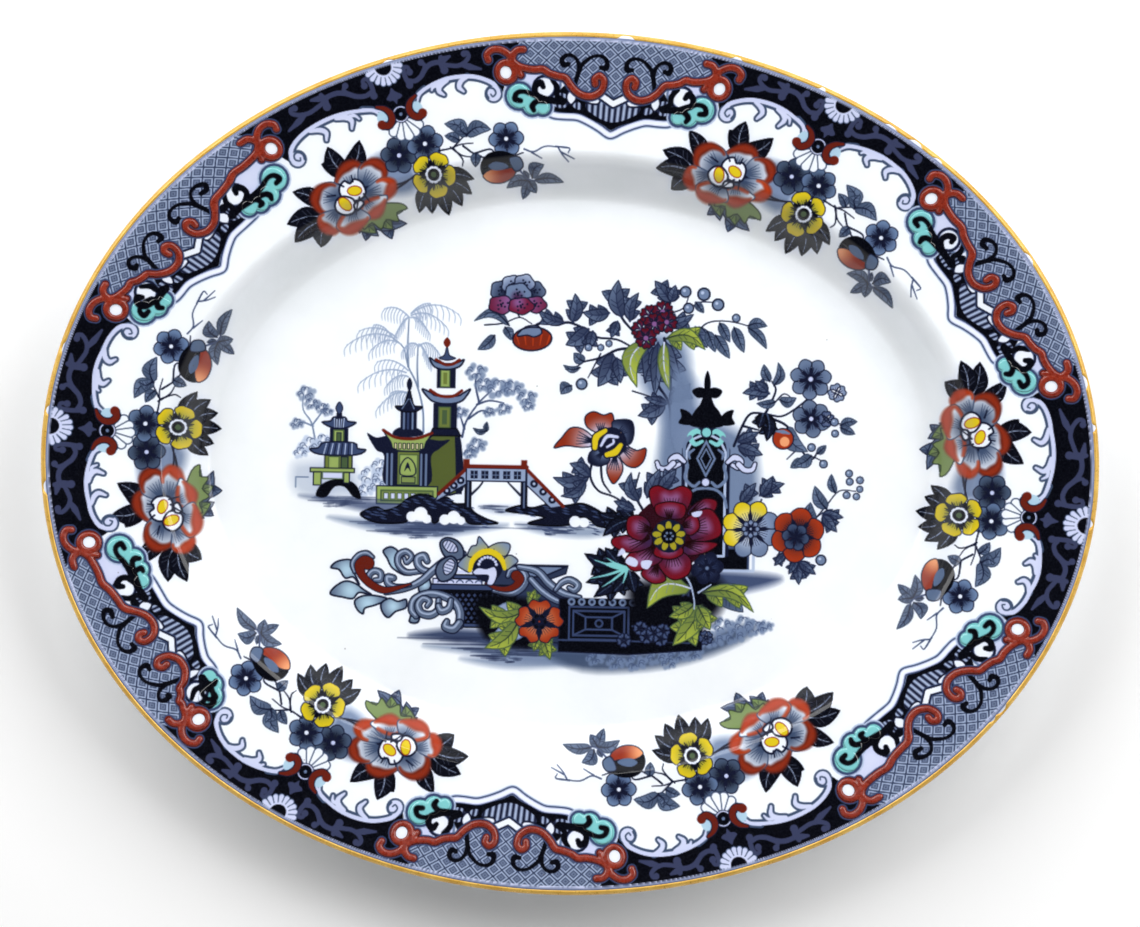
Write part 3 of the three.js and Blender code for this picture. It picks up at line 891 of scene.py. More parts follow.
def block(canvas, points, colour, edge=NAVY, width=0.6):
    """A straight-sided patch with a drawn outline."""
    points = flat(points)
    canvas.fill(points, colour)
    if edge is not None:
        canvas.line(np.vstack([points, points[:1]]), width, edge)


def rect(canvas, left, bottom, right, top, colour, edge=NAVY, width=0.6):
    block(canvas, [(left, bottom), (right, bottom), (right, top), (left, top)], colour, edge, width)


def tiled_roof(canvas, left, right, low, high, middle, span, colour=BLUE):
    """A roof with upturned ends, ribbed from its ridge."""
    outline = [(left, low + 1), (left + 4, low + 1.6), (middle - span, high), (middle + span, high),
               (right - 4, low + 1.6), (right, low + 1), (right - 5, low - 1.6), (left + 5, low - 1.6)]
    shape(canvas, flat, outline, colour, edge=NAVY, edge_width=0.8, closed_steps=3)
    for k in range(9):
        share = (k + 0.5) / 9
        canvas.line(flat([(middle - span + 2 * span * share, high - 0.6),
                          (left + 6 + (right - left - 12) * share, low - 1.2)]), 0.5,
                    NAVY if k % 2 else MIST)


def pavilion(canvas):
    """The small two-storey pavilion on its arched rock."""
    wash(canvas, flat, [(-136, -4), (-128, -1), (-108, -2), (-104, -16), (-122, -19), (-134, -16)], 3, 0.35)
    shape(canvas, flat, [(-124, -18), (-122, -13), (-116, -10), (-109, -10), (-104, -13), (-102, -19),
                         (-106, -18),
                         (-110, -13.6), (-115, -13.6), (-119, -18.5)], INK)
    rect(canvas, -120, -6, -106.6, 2, OLIVE)
    rect(canvas, -118, -5, -113, 1.2, LEAF_GREEN, MOSS, 0.5)
    rect(canvas, -112, -5, -108.6, 1.2, MOSS, NAVY, 0.5)
    rect(canvas, -127, -6.4, -105.4, -4.4, LEAF_GREEN)
    rect(canvas, -125.4, -12.8, -121.6, -6.4, LEAF_GREEN)
    rect(canvas, -110.6, -11.6, -107.8, -6.4, LEAF_GREEN)
    rect(canvas, -121, -9.6, -111, -6.4, PALE, MOSS)
    rect(canvas, -117.4, 7, -109, 15, NAVY)
    rect(canvas, -115.8, 7.4, -111, 14.2, LEAF_GREEN, MOSS)
    rect(canvas, -114.4, 8, -112.2, 13, MOSS, NAVY, 0.4)
    tiled_roof(canvas, -127.4, -100, 3.8, 8.2, -113, 7)
    tiled_roof(canvas, -121.6, -105, 17, 20.6, -113.2, 2.6)
    rect(canvas, -114.4, 20, -112.2, 22.4, NAVY)
    shape(canvas, flat, [(-113.3, 28), (-111.6, 25), (-113.3, 22), (-115, 25)], BLUE, edge=NAVY,
          edge_width=0.5)
    canvas.line(flat([(-134, -14), (-134, -9), (-128, -9)]), 0.7, SLATE)


def temple(canvas):
    """The green temple with a dark tower on its roof, on a panelled base."""
    shape(canvas, flat, [(-99.6, 13), (-95, 11), (-88, 12), (-72, 11), (-64, 10), (-59, 10.4), (-64, 6),
                         (-68, 2),
                         (-69, -12), (-90, -12), (-91, 2), (-95, 5)], NAVY)
    for x in (-89.4, -87.2, -72.8, -70.4):
        canvas.line(flat([(x, 3), (x, -12)]), 1.0, SLATE)
    rect(canvas, -84.6, -12, -73.6, 4.4, OLIVE)
    rect(canvas, -83.4, -11.6, -74.6, 2.8, LEAF_GREEN, MOSS, 0.5)
    rect(canvas, -82.4, -11, -75.6, -8, LEAF_GREEN * 0.85, NAVY, 0.5)
    shape(canvas, flat, [(-82.6, -7), (-82.6, -2), (-79.4, 1.4), (-76, -2), (-76, -7)], LEAF_GREEN,
          edge=NAVY,
          edge_width=0.6)
    shape(canvas, flat, [(-81, -5.4), (-79.4, -0.8), (-77.8, -5.4), (-79.4, -3.6)], NAVY)
    shape(canvas, flat, [(-91.4, 14.4), (-88, 9), (-85.4, 5), (-73, 5), (-70.6, 9), (-68, 13.6),
                         (-74, 11.4),
                         (-80, 10.6), (-86, 11.6)], LEAF_GREEN, edge=NAVY, edge_width=0.7)
    for k in range(7):
        x = -86 + k * 2.1
        rect(canvas, x, 5.6, x + 1.1, 8.4, YELLOW * 0.4 + WHITE * 0.6, NAVY, 0.45)
    stroke(canvas, flat, [(-91.6, 14.6), (-86, 11.4), (-80, 10.6), (-74, 11.2), (-67.8, 13.6)], 1.5, RED)
    shape(canvas, flat, [(-87, 12.6), (-84, 16), (-75.4, 16), (-72, 12.8), (-79.6, 11.4)], NAVY)
    rect(canvas, -83, 15, -75.6, 26, NAVY)
    for x, colour in ((-81.6, SLATE), (-79.6, BLUE), (-77.4, SLATE)):
        canvas.line(flat([(x, 15.6), (x, 25)]), 0.9, colour)
    shape(canvas, flat, [(-86, 26.4), (-82, 27), (-80.6, 31), (-79.2, 35), (-78, 31), (-76.6, 27),
                         (-72.6, 26.4),
                         (-76, 24), (-83, 24)], NAVY, edge=INK, edge_width=0.5)
    twigs(canvas, flat, [[(-82.6, 25.4), (-79.6, 30)], [(-76.8, 25.4), (-78.8, 30)]], 0.6, SLATE)
    shape(canvas, flat, [(-79.2, 40.6), (-77.8, 37.4), (-79.2, 33.6), (-80.6, 37.4)], NAVY)
    rect(canvas, -94.4, -21.4, -64.6, -12.6, LEAF_GREEN)
    rect(canvas, -92.2, -19.8, -66.8, -14.8, LEAF_GREEN * 0.8, MOSS, 0.8)
    for k in range(7):
        rect(canvas, -90.8 + k * 3.3, -19, -88.6 + k * 3.3, -16, PALE, MOSS, 0.5)


def pagoda(canvas):
    """The tall pagoda behind the temple."""
    shape(canvas, flat, [(-68, -16), (-69, -4), (-69, 11), (-61, 13.4), (-55, 13), (-53, 2), (-52.6, -14)],
          OLIVE * 0.8,
          edge=NAVY, edge_width=0.9)
    canvas.fill(flat([(-56.6, 12), (-54, 12), (-52.6, -2), (-52.6, -16), (-55.6, -16), (-56, 0)]), NAVY)
    rect(canvas, -67, 15, -56, 28, NAVY)
    rect(canvas, -64.6, 16.4, -59, 26.4, OLIVE, MOSS)
    rect(canvas, -63, 18, -60.6, 25, MOSS, None)
    block(canvas, [(-69, 12.4), (-53.6, 12.4), (-55.6, 16), (-67.4, 16)], NAVY, INK)
    rect(canvas, -65.6, 36, -57, 45.6, NAVY)
    rect(canvas, -64, 36.4, -59.6, 44.8, LEAF_GREEN, MOSS)
    rect(canvas, -62.8, 37.6, -60.8, 43.4, OLIVE, None)
    for roof, red in (
        ([(-73, 35), (-69, 33.6), (-66, 32), (-56, 32), (-53, 33.4), (-49.4, 35.4), (-53, 30), (-58, 28.2),
          (-64, 28.2), (-69, 30)], [(-69, 34.6), (-65, 32.2), (-61, 31.6), (-57, 32.2), (-53.6, 34.6)]),
        ([(-69.6, 50.4), (-66, 48.4), (-61, 47.6), (-56, 48.4), (-52.8, 49.8), (-55, 46.4), (-61, 44.8),
          (-67, 46)], [(-66.4, 49.6), (-63, 47.7), (-61, 47.2), (-58, 47.7), (-55, 49.6)]),
    ):
        shape(canvas, flat, roof, SLATE, edge=NAVY, edge_width=0.9)
        stroke(canvas, flat, red, 1.5, RED)
    shape(canvas, flat, [(-65, 50.4), (-62.4, 52), (-61.2, 56.4), (-60, 52), (-57, 50.4), (-61, 49.4)],
          BLUE, edge=NAVY,
          edge_width=0.5)
    shape(canvas, flat, [(-61.2, 60.6), (-59.4, 58), (-61.2, 55.6), (-63, 58)], RED)


def bridge(canvas):
    """The arched bridge with red rails and a crossed panel."""
    for x0, x1 in ((-51, -48.2), (-23.6, -20.8)):
        rect(canvas, x0, -23, x1, -8, NAVY, INK)
        canvas.line(flat([(x0 + 1.4, -22), (x0 + 1.4, -10)]), 0.6, SLATE)
    twigs(canvas, flat, [[(-48, -16), (-44, -12), (-42, -9)], [(-24, -16), (-28, -12), (-31, -9)]], 1.2)
    for slope in ([(-50.6, -3.4), (-50.6, -11), (-66, -20), (-64, -16)],
                  [(-21, -3.4), (-21, -11), (-9, -22), (-3, -21)]):
        block(canvas, slope, SLATE * 0.5 + MIST * 0.5)
        start, end = np.array(slope[0]), np.array(slope[3])
        low = np.array(slope[1]) - slope[0]
        for share in (0.2, 0.45, 0.7):
            middle = start + (end - start) * share + low * (0.5 - 0.3 * share)
            spot(canvas, flat, *middle, 1.9, NAVY)
            spot(canvas, flat, *middle, 0.7, MIST)
        stroke(canvas, flat, [start, (start + end) / 2, end], 1.7, RED)
    rect(canvas, -50.6, -9.4, -21.4, -3, SLATE * 0.5 + MIST * 0.5)
    for k in range(5):
        x = -46.8 + k * 5.3
        rect(canvas, x - 1.7, -8.2, x + 1.7, -4.4, NAVY, None)
        canvas.line(flat([(x - 1.9, -6.3), (x + 1.9, -6.3)]), 0.4, SLATE)
        canvas.line(flat([(x, -8.4), (x, -4.2)]), 0.4, SLATE)
    canvas.line(flat([(-51, -2.2), (-21, -2.2)]), 1.8, RED)
    for x in (-50.6, -22.4):
        rect(canvas, x - 1.5, -3.4, x + 1.5, 1.2, RED, None)


def streaks(canvas, draw, x, y, half, rows, colour):
    """Still water: broken level strokes, fewer and shorter further down."""
    for k in range(rows):
        reach = half * (1 - (k / rows) ** 1.4)
        for _ in range(3):
            middle, away = x + draw.uniform(-0.75, 0.75) * reach, draw.uniform(0.15, 0.5) * reach
            level = y - 0.9 * k + draw.uniform(-0.2, 0.2)
            canvas.line(flat([(middle - away, level), (middle, level), (middle + away, level)]),
                        [0.2, 0.8, 0.2], colour,
                        soft=0.2, strength=0.8)


WATER_SHADES = [
    ([(-132, -18), (-112, -19), (-92, -20), (-74, -22), (-80, -25), (-100, -25), (-118, -21)], BLUE, 0.75),
    ([(-118, -28.4), (-100, -29), (-60, -31), (-30, -30.4), (-44, -34), (-66, -37), (-92, -35)], SLATE,
     0.8),
    ([(-80, -30), (-62, -31), (-44, -30.6), (-56, -34), (-70, -34)], BLUE, 0.8),
    ([(-26, -30), (-6, -31), (12, -31), (26, -32), (10, -36), (-12, -34.6)], SLATE, 0.7),
    ([(-44, -22), (-30, -21.6), (-22, -24), (-34, -25)], SLATE, 0.6),
]
ROCKS = [
    [(-102, -27), (-98, -24), (-94, -23), (-90, -24.6), (-84, -22.6), (-79, -18.6), (-74, -16.6),
     (-68, -17), (-65, -19),
     (-60, -17.6), (-56, -20.6), (-50, -21), (-46, -25), (-40, -28), (-35, -30), (-48, -30.4), (-52, -27),
     (-57, -25),
     (-62, -27.6), (-66, -30.4), (-69, -26), (-74, -24), (-78, -27.6), (-81, -30.4), (-94, -30.6)],
    [(-31, -23.6), (-24, -21), (-18, -22), (-10, -20), (-2, -20.6), (6, -19.4), (13, -22), (19, -26),
     (24, -31),
     (14, -30.4), (10, -27.2), (5, -26.4), (0, -30), (-10, -30.6), (-20, -29.6), (-12, -26.6), (-22, -25)],
]
OPENINGS = [(-77, -27.4, 2.6), (-72.6, -26.0, 3.4), (-69.6, -28.4, 2.2), (-60.8, -28.6, 2.6),
            (-56.4, -27.4, 3.2),
            (-52.8, -29, 2.0), (3, -28.4, 2.8), (7.4, -28.8, 2.4)]


def rocks_and_water(canvas):
    """The dark banks with their openings, and the still water round them."""
    draw = np.random.default_rng(5)
    for outline, colour, strength in WATER_SHADES:
        wash(canvas, flat, outline, 1.4, strength, colour)
    for x, y, half, rows in ((-114, -18.4, 22, 6), (-72, -30.4, 44, 9), (-6, -30.4, 26, 6),
                             (-34, -21.6, 12, 4)):
        streaks(canvas, draw, x, y, half, rows, BLUE * 0.7 + NAVY * 0.3)
    for outline in ROCKS:
        shape(canvas, flat, outline, NAVY * 0.8, edge=INK, edge_width=0.8)
        for x, y in outline[1:14]:
            for k in range(3):
                start = np.array([x + draw.uniform(-2, 2), y - 1.2 - 1.3 * k])
                canvas.line(start + np.array([(-1.6, 0.3), (0, -0.1), (1.8, -0.5)]), [0.2, 0.8, 0.2], BLUE)
    for x, y, radius in OPENINGS:
        spot(canvas, flat, x, y, radius, WHITE)


def frond(canvas, root, tip, droop, count=9, colour=SLATE * 0.4 + MIST * 0.6):
    """A drooping palm frond: a curved rib with hanging leaflets."""
    root, tip = np.array(root, float), np.array(tip, float)
    t = np.linspace(0, 1, count)[:, None]
    rib = root + (tip - root) * t + np.array([0, 1]) * droop * 4 * t * (1 - t)
    canvas.line(rib, np.linspace(0.8, 0.4, count), colour)
    way = np.sign(tip[0] - root[0])
    for k in range(1, count):
        fall = 4.5 + 3.0 * np.sin(np.pi * k / count)
        hang = [rib[k], rib[k] + (way * 1.4, -fall * 0.45), rib[k] + (way * 1.2, -fall)]
        canvas.line(smooth(hang, steps=3), [0.7, *[0.45] * 5, 0.2], colour)


def palms(canvas):
    """The slender palms behind the temple."""
    twigs(canvas, flat, [[(-72, 14), (-72.6, 26), (-76, 38), (-80, 46), (-82.4, 55), (-88, 60)],
                         [(-75, 36), (-75.6, 46), (-75.4, 56)], [(-80, 46), (-80.4, 58), (-80, 70)]], 1.0,
          SLATE)
    for root, tip, droop in (
        ((-88, 60), (-110, 56), 3.4), ((-86, 60), (-104, 63), 3), ((-84, 57), (-98, 54), 3),
        ((-88, 60), (-97, 66), 2),
        ((-81, 43), (-103, 38), 3.4), ((-80, 44), (-95, 48), 2.6), ((-80, 41), (-90, 37), 2.2),
        ((-79, 33), (-94, 26), 3.0), ((-79, 32), (-88, 33), 1.4),
        ((-80, 70), (-92, 74), 2.4), ((-80, 70), (-86, 62), 1.8), ((-79, 71), (-62, 66), 3.4),
        ((-79, 70), (-71, 64), 2),
        ((-79, 72), (-56, 72), 4.4), ((-79, 72), (-70, 77), 1.4), ((-75, 56), (-82, 55), 2),
        ((-75, 56), (-66, 54), 2.6),
        ((-75, 57), (-70, 49), 1.6),
    ):
        frond(canvas, root, tip, droop)


def foliage(canvas, rows, colour=SLATE, strength=0.8):
    """Clumps of small rounded tufts, lighter above."""
    for x, y, radius in rows:
        for k in range(9):
            way = k * 2.4
            reach = radius * (0.25 + 0.75 * np.sqrt((k + 0.5) / 9))
            middle = (x + reach * np.cos(way), y + 0.7 * reach * np.sin(way))
            canvas.fill(circle(*middle, radius * 0.30), colour, 0.3, strength)
        for k in range(6):
            way = k * 1.9 + x
            middle = np.array([x + 0.6 * radius * np.cos(way), y + 0.45 * radius * np.sin(way)])
            curl = middle + radius * 0.26 * np.column_stack([np.cos(np.linspace(0.3, 3.6, 7)),
                                                              np.sin(np.linspace(0.3, 3.6, 7))])
            canvas.line(curl, 0.4, BLUE * 0.8 + colour * 0.2)


def trees(canvas):
    twigs(canvas, flat, [[(-53, 12), (-51, 20), (-45, 29), (-39, 35)], [(-50, 21), (-44, 25), (-39, 24)],
                         [(-46, 28), (-40, 30), (-33, 29)], [(-45, 29), (-47, 38), (-46, 43)],
                         [(-52, 16), (-54, 22)]], 1.1, BLUE)
    foliage(canvas, [(-47, 44, 5), (-43, 38, 4.4), (-36, 36, 6), (-29, 36.4, 5), (-22, 32, 4.6),
                     (-21, 27.6, 3),
                     (-33, 26, 3.6), (-40, 24.4, 3), (-54, 24, 3.4), (-46, 8, 4.6), (-49, 4, 3.4)], SLATE)
    twigs(canvas, flat, [[(-125, 10), (-127, 18), (-131, 24), (-131, 32)],
                         [(-126, 16), (-132, 18), (-135, 16)],
                         [(-126, 17), (-121, 24), (-119, 27)]], 0.9, SLATE)
    foliage(canvas, [(-130, 32, 4.4), (-127, 27, 3.6), (-134, 17, 3.4), (-122, 25, 3.2), (-119, 23, 2.6)],
            SLATE, 0.7)
    foliage(canvas, [(-128, 7, 5), (-121, 9, 4), (-132, 3, 3.6), (-98, -8, 5.4), (-93, -3, 4.6),
                     (-100, -15, 4),
                     (-94, -12, 4)], MIST, 0.8)
    leaves(canvas, flat, [("slate", -41, 15, -41, 19.4, 2.4, 0.1),
                          ("slate", -41, 15.4, -47.6, 16.4, 2.6, 0.2)])


# ---- The planter and the flowers on the right ------------------------------------------------------
ACANTHUS = [
    [(-102, -61), (-105, -57.5), (-109, -58), (-112, -54), (-116, -53), (-113, -50), (-107, -49),
     (-103.5, -51.5),
     (-105, -54)],
    [(-96, -66), (-102, -65), (-105, -68), (-110, -67.4), (-116, -66), (-114, -62.5), (-109, -59.6),
     (-104, -60.6),
     (-100, -63.4)],
    [(-88, -68), (-94, -71), (-99, -72.6), (-100, -75.4), (-103, -73), (-104, -69), (-100, -66.6),
     (-94, -66.4)],
    [(-79, -68), (-79, -72), (-84, -74), (-87.6, -77), (-90.6, -74), (-91, -70), (-87, -67.6), (-83, -69)],
    [(-74, -55), (-80, -56), (-86, -52.6), (-88.6, -48), (-90.6, -44.4), (-87, -42.4), (-83.4, -44.6),
     (-82.6, -50),
     (-79, -53.4)],
    [(-73, -62), (-71.6, -58.4), (-69, -56), (-67.6, -58), (-67, -61.4), (-69, -64), (-72, -64.6)],
    [(-72, -74), (-73, -79), (-77, -79), (-76.6, -75.6), (-77, -71), (-74, -70)],
]
SLATE_CURLS = [
    ([(-104.4, -55), (-105.4, -51), (-102.6, -47), (-98.6, -45.8), (-95.6, -47.6)],
     [1.2, 2.0, 2.4, 2.2, 1.2]),
    ([(-72, -54), (-79, -54.6), (-83, -51), (-83, -46.6), (-79.5, -44.6), (-76.6, -47), (-79, -50),
      (-80.2, -47.8)],
     [2.0, 2.2, 2.4, 2.6, 2.4, 2.0, 1.6, 1.2]),
    ([(-62, -53), (-69, -54), (-73, -51.6), (-73.6, -48), (-70.6, -46.6), (-69, -49)],
     [2, 2.6, 3.0, 3.4, 3.2, 2.4]),
    ([(-51, -45), (-60, -48.6), (-66, -53.6), (-72, -59), (-80, -62.8), (-89, -65)],
     [1.6, 2.8, 3.2, 3.0, 2.4, 1.4]),
    ([(-96, -61.6), (-97.4, -57), (-95, -54.4), (-91.8, -55.2), (-91.6, -58.4), (-94.4, -58.8)],
     [1.6, 2.4, 2.6, 2.6, 2.4, 1.6]),
    ([(-77, -61), (-84, -61.8), (-87.6, -60.4), (-88, -57.6), (-85.4, -57.6)], [0.8, 2.0, 3.0, 3.4, 2.6]),
    ([(-52.6, -80), (-52.4, -74), (-55, -69), (-61, -65.8), (-68, -65), (-74.6, -68), (-76, -73),
      (-74, -76)],
     [3.4, 3.6, 3.6, 3.4, 3.4, 3.4, 3.0, 2.4]),
    ([(-63, -68), (-63.4, -73), (-67, -75.4), (-71.4, -74.4), (-73, -70.6), (-70.6, -67.4), (-67.4, -68.6),
      (-68.6, -71)],
     [2.2, 2.8, 3.2, 3.2, 3.0, 2.6, 2.2, 1.8]),
    ([(-57, -68), (-58, -72), (-61.4, -73.4), (-63, -71)], [2.2, 2.8, 3.2, 2.6]),
    ([(-52.6, -79), (-55.4, -82), (-59.4, -81), (-58.8, -78.4)], [3.2, 3.6, 3.4, 2.4]),
    ([(-36, -63), (-28, -64.4), (-22.4, -61), (-20.6, -56), (-23.6, -52.4), (-28, -52.8), (-29.4, -55.6)],
     [1.6, 2.6, 3.2, 3.2, 2.6, 2.2, 1.6]),
    ([(-24, -51), (-15, -53), (-9, -59), (-2, -63.6), (6, -65.4)], [2.0, 3.0, 3.4, 3.0, 1.6]),
    ([(-18, -57), (-12, -63), (-4, -67.6), (6, -68.6)], [2.6, 3.0, 2.6, 1.6]),
    ([(-6, -62), (-3, -58.4), (1, -57), (5, -59.4), (3.4, -62), (0.6, -60.8)],
     [1.4, 2.4, 2.8, 2.8, 2.4, 1.6]),
]
RED_CURLS = [
    ([(-77, -60.4), (-84, -62.6), (-90, -63.6), (-96, -61), (-100.6, -56.6), (-102, -52), (-99.6, -50.2),
      (-98, -50.6)],
     [0.6, 2.0, 3.0, 3.4, 3.6, 4.6, 6.2, 6.0]),
    ([(-40, -59.4), (-35, -61.6), (-30, -62), (-25.6, -60.4), (-23.6, -57.2), (-25.2, -55.4)],
     [0.8, 1.8, 2.4, 3.0, 4.2, 5.0]),
]
HALF_FLOWER = [
    [(-54, -50.4), (-50, -46), (-48, -46.4), (-46, -50), (-48, -54), (-51, -53)],
    [(-31, -46.6), (-28, -45.4), (-24.6, -48), (-27, -50.6), (-30, -52.6), (-32, -50)],
    [(-49, -46.4), (-47.6, -41.6), (-45, -40.6), (-44, -36.6), (-41.4, -39), (-38.6, -43), (-42, -46)],
    [(-39.6, -42.6), (-35, -39.6), (-30, -39.4), (-28.4, -41.4), (-30.4, -45.6), (-35, -46)],
]


def planter(canvas):
    """The scrolled tub at the lower left, with its red curls and half flower."""
    block(canvas, [(-40, -54), (-25, -50), (0, -50), (-1, -54), (-12, -58), (0, -66), (-4, -88),
                   (-40, -84)], BLUE * 0.75)
    block(canvas, [(-26, -50.4), (-1, -50.6), (-12, -55.6), (-22, -56)], SLATE, NAVY, 0.8)
    block(canvas, [(-67, -63), (-25, -63), (-25, -80.6), (-50, -80.6), (-53, -72), (-60, -66)], INK)
    for k in range(15):
        for row in range(7):
            x, y = -57 + 2.9 * k + 1.45 * (row % 2), -65.4 - 2.2 * row
            if x < -28 and x > -60 + 1.4 * row:
                canvas.fill(circle(x, y, 0.95, 4), BLUE)
    rect(canvas, -51.6, -81, -25, -79, BLUE, INK)
    rect(canvas, -67, -63, -24, -60.2, BLUE, INK)
    rect(canvas, -66, -60.2, -42, -57.4, PALE, NAVY)
    for k in range(5):
        canvas.line(circle(-62 + 4.6 * k, -59.8, 1.7, 16)[1:8], 0.6, BLUE)
    rect(canvas, -56, -57.4, -41, -55.4, BLUE, INK)
    canvas.line(flat([(-56, -54), (-39.6, -54), (-38.4, -58)]), 1.5, PALE)
    for outline in ACANTHUS:
        path = smooth(outline, closed=True, steps=5)
        canvas.fill_ramp(path, path.mean(0), path[np.argmax(np.hypot(*(path - path.mean(0)).T))], HAZE,
                         SLATE * 0.85)
        canvas.line(np.vstack([path, path[:1]]), 0.9, NAVY)
    for points, widths in SLATE_CURLS:
        stroke(canvas, flat, points, widths, SLATE * 0.8, edge=NAVY, edge_width=0.6)
        path = smooth(points, steps=6)
        shine = np.interp(np.linspace(0, 1, len(path)), np.linspace(0, 1, len(widths)), widths)
        canvas.line(path + (-0.12, 0.16) * shine[:, None], shine * 0.3, MIST, strength=0.8)
    for points, widths in RED_CURLS:
        stroke(canvas, flat, points, widths, RED, edge=NAVY, edge_width=0.4)
    for x, y, turn in ((-57, -42.6, 140), (-59, -52.6, 60)):
        place = placed(x, y, turn)
        shape(canvas, place, [(-7, 0), (-4, 4.4), (1, 5), (6, 2), (5.6, -2), (1, -4.4), (-4, -3.6)],
              SLATE * 0.8,
              edge=NAVY, edge_width=0.9)
        shape(canvas, place, [(-3, -0.6), (0, 2.4), (4.6, 1.6), (4.4, -1.6), (0, -2.6)], PALE * 0.95,
              edge=NAVY,
              edge_width=0.6)
        for k in range(4):
            canvas.line(place([(-1.6 + 1.6 * k, 1.6), (-0.8 + 1.6 * k, -1.8)]), 0.45, BLUE)
    for outline in HALF_FLOWER:
        middle = np.mean(outline, axis=0)
        free_petal(canvas, flat, outline, (-39.4, -51), middle + (middle - (-39.4, -51)) * 0.5, YELLOW,
                   SLATE * 1.1, 3)
    spot(canvas, flat, -39.4, -51.4, 7.4, NAVY)
    stroke(canvas, flat, [(-48, -53.2), (-46.8, -48.4), (-43.4, -45), (-39.4, -43.8), (-35.4, -45),
                          (-32.4, -48),
                          (-31, -52)], [2.0, 2.6, 3.0, 3.0, 3.0, 2.6, 1.8], YELLOW)
    for k in range(9):
        ray = np.array([np.cos(np.radians(12 + 19.5 * k)), np.sin(np.radians(12 + 19.5 * k))])
        spot(canvas, flat, *(np.array([-39.4, -51]) + 4.4 * ray), 0.75, PALE)
    shape(canvas, flat, [(-46.6, -54), (-44, -51.8), (-40, -52.2), (-36, -51.2), (-34.6, -55), (-36.6, -60),
                         (-39.6, -59.6), (-39, -55.6), (-45, -55.4)], PALE, edge=NAVY, edge_width=0.6)


def inlaid_box(canvas):
    """The dark box with an inlaid panel that the flowers stand on."""
    block(canvas, [(-4, -92), (-4, -66), (34, -66), (44, -70), (66, -72), (66, -90), (30, -93)], INK)
    for corners in ([(1, -86), (1, -70), (30, -70), (30, -86)], [(3, -84), (3, -72), (28, -72), (28, -84)],
                    [(9, -81), (9, -75), (22, -75), (22, -81)]):
        path = flat([*corners, corners[0]])
        canvas.line(path, 1.0, BLUE)
    for start, end in (((3, -72), (9, -75)), ((28, -72), (22, -75)), ((3, -84), (9, -81)),
                       ((28, -84), (22, -81))):
        canvas.line(flat([start, end]), 0.9, BLUE)
    spot(canvas, flat, 15.6, -78, 2.2, BLUE)
    spot(canvas, flat, 15.6, -78, 1.2, INK)
    for x in range(2, 33, 5):
        spot(canvas, flat, x, -67.6, 1.9, SLATE)
        spot(canvas, flat, x, -67.6, 0.8, NAVY)
    canvas.line(flat([(32, -79), (62, -79)]), 0.9, BLUE)
    canvas.line(flat([(-4, -86.4), (32, -86.4), (60, -86.8)]), 0.8, BLUE)


def ground_shadow(canvas):
    wash(canvas, flat, [(-77, -86), (-66, -83), (-50, -82), (-20, -84), (10, -86), (40, -88), (20, -93),
                        (-20, -93),
                        (-50, -88.6)], 1.6, 0.95, BLUE * 0.9)
    wash(canvas, flat, [(-70, -90.6), (-52, -90), (-20, -91), (20, -91), (10, -97), (-20, -98), (-46, -94)],
         1.6, 0.85)
    wash(canvas, flat, [(-52, -96.6), (-40, -95.6), (0, -96), (12, -98), (-20, -100.6), (-36, -100)], 1.4,
         0.7)
    wash(canvas, flat, [(60, -52), (88, -52), (104, -54), (98, -58), (80, -62), (60, -62)], 2.0, 0.95, BLUE)
    wash(canvas, flat, [(-10, -92), (30, -92), (62, -88), (76, -80), (92, -77), (88, -84), (66, -94),
                        (40, -100), (8, -101)],
         2.0, 0.9, DEEP_SLATE)
    streaks(canvas, np.random.default_rng(6), -30, -86, 44, 14, NAVY * 0.5 + BLUE * 0.5)
    foliage(canvas, [(14, -95, 4.4), (24, -97, 4.4), (34, -97, 5), (44, -94, 5), (54, -93, 5),
                     (62, -92, 4.4),
                     (50, -97, 3.6), (72, -85, 5), (82, -83, 5), (92, -79, 5), (86, -77, 5), (76, -78, 5),
                     (97, -78, 3.6), (66, -86, 4.4)], SLATE * 1.05, 0.8)


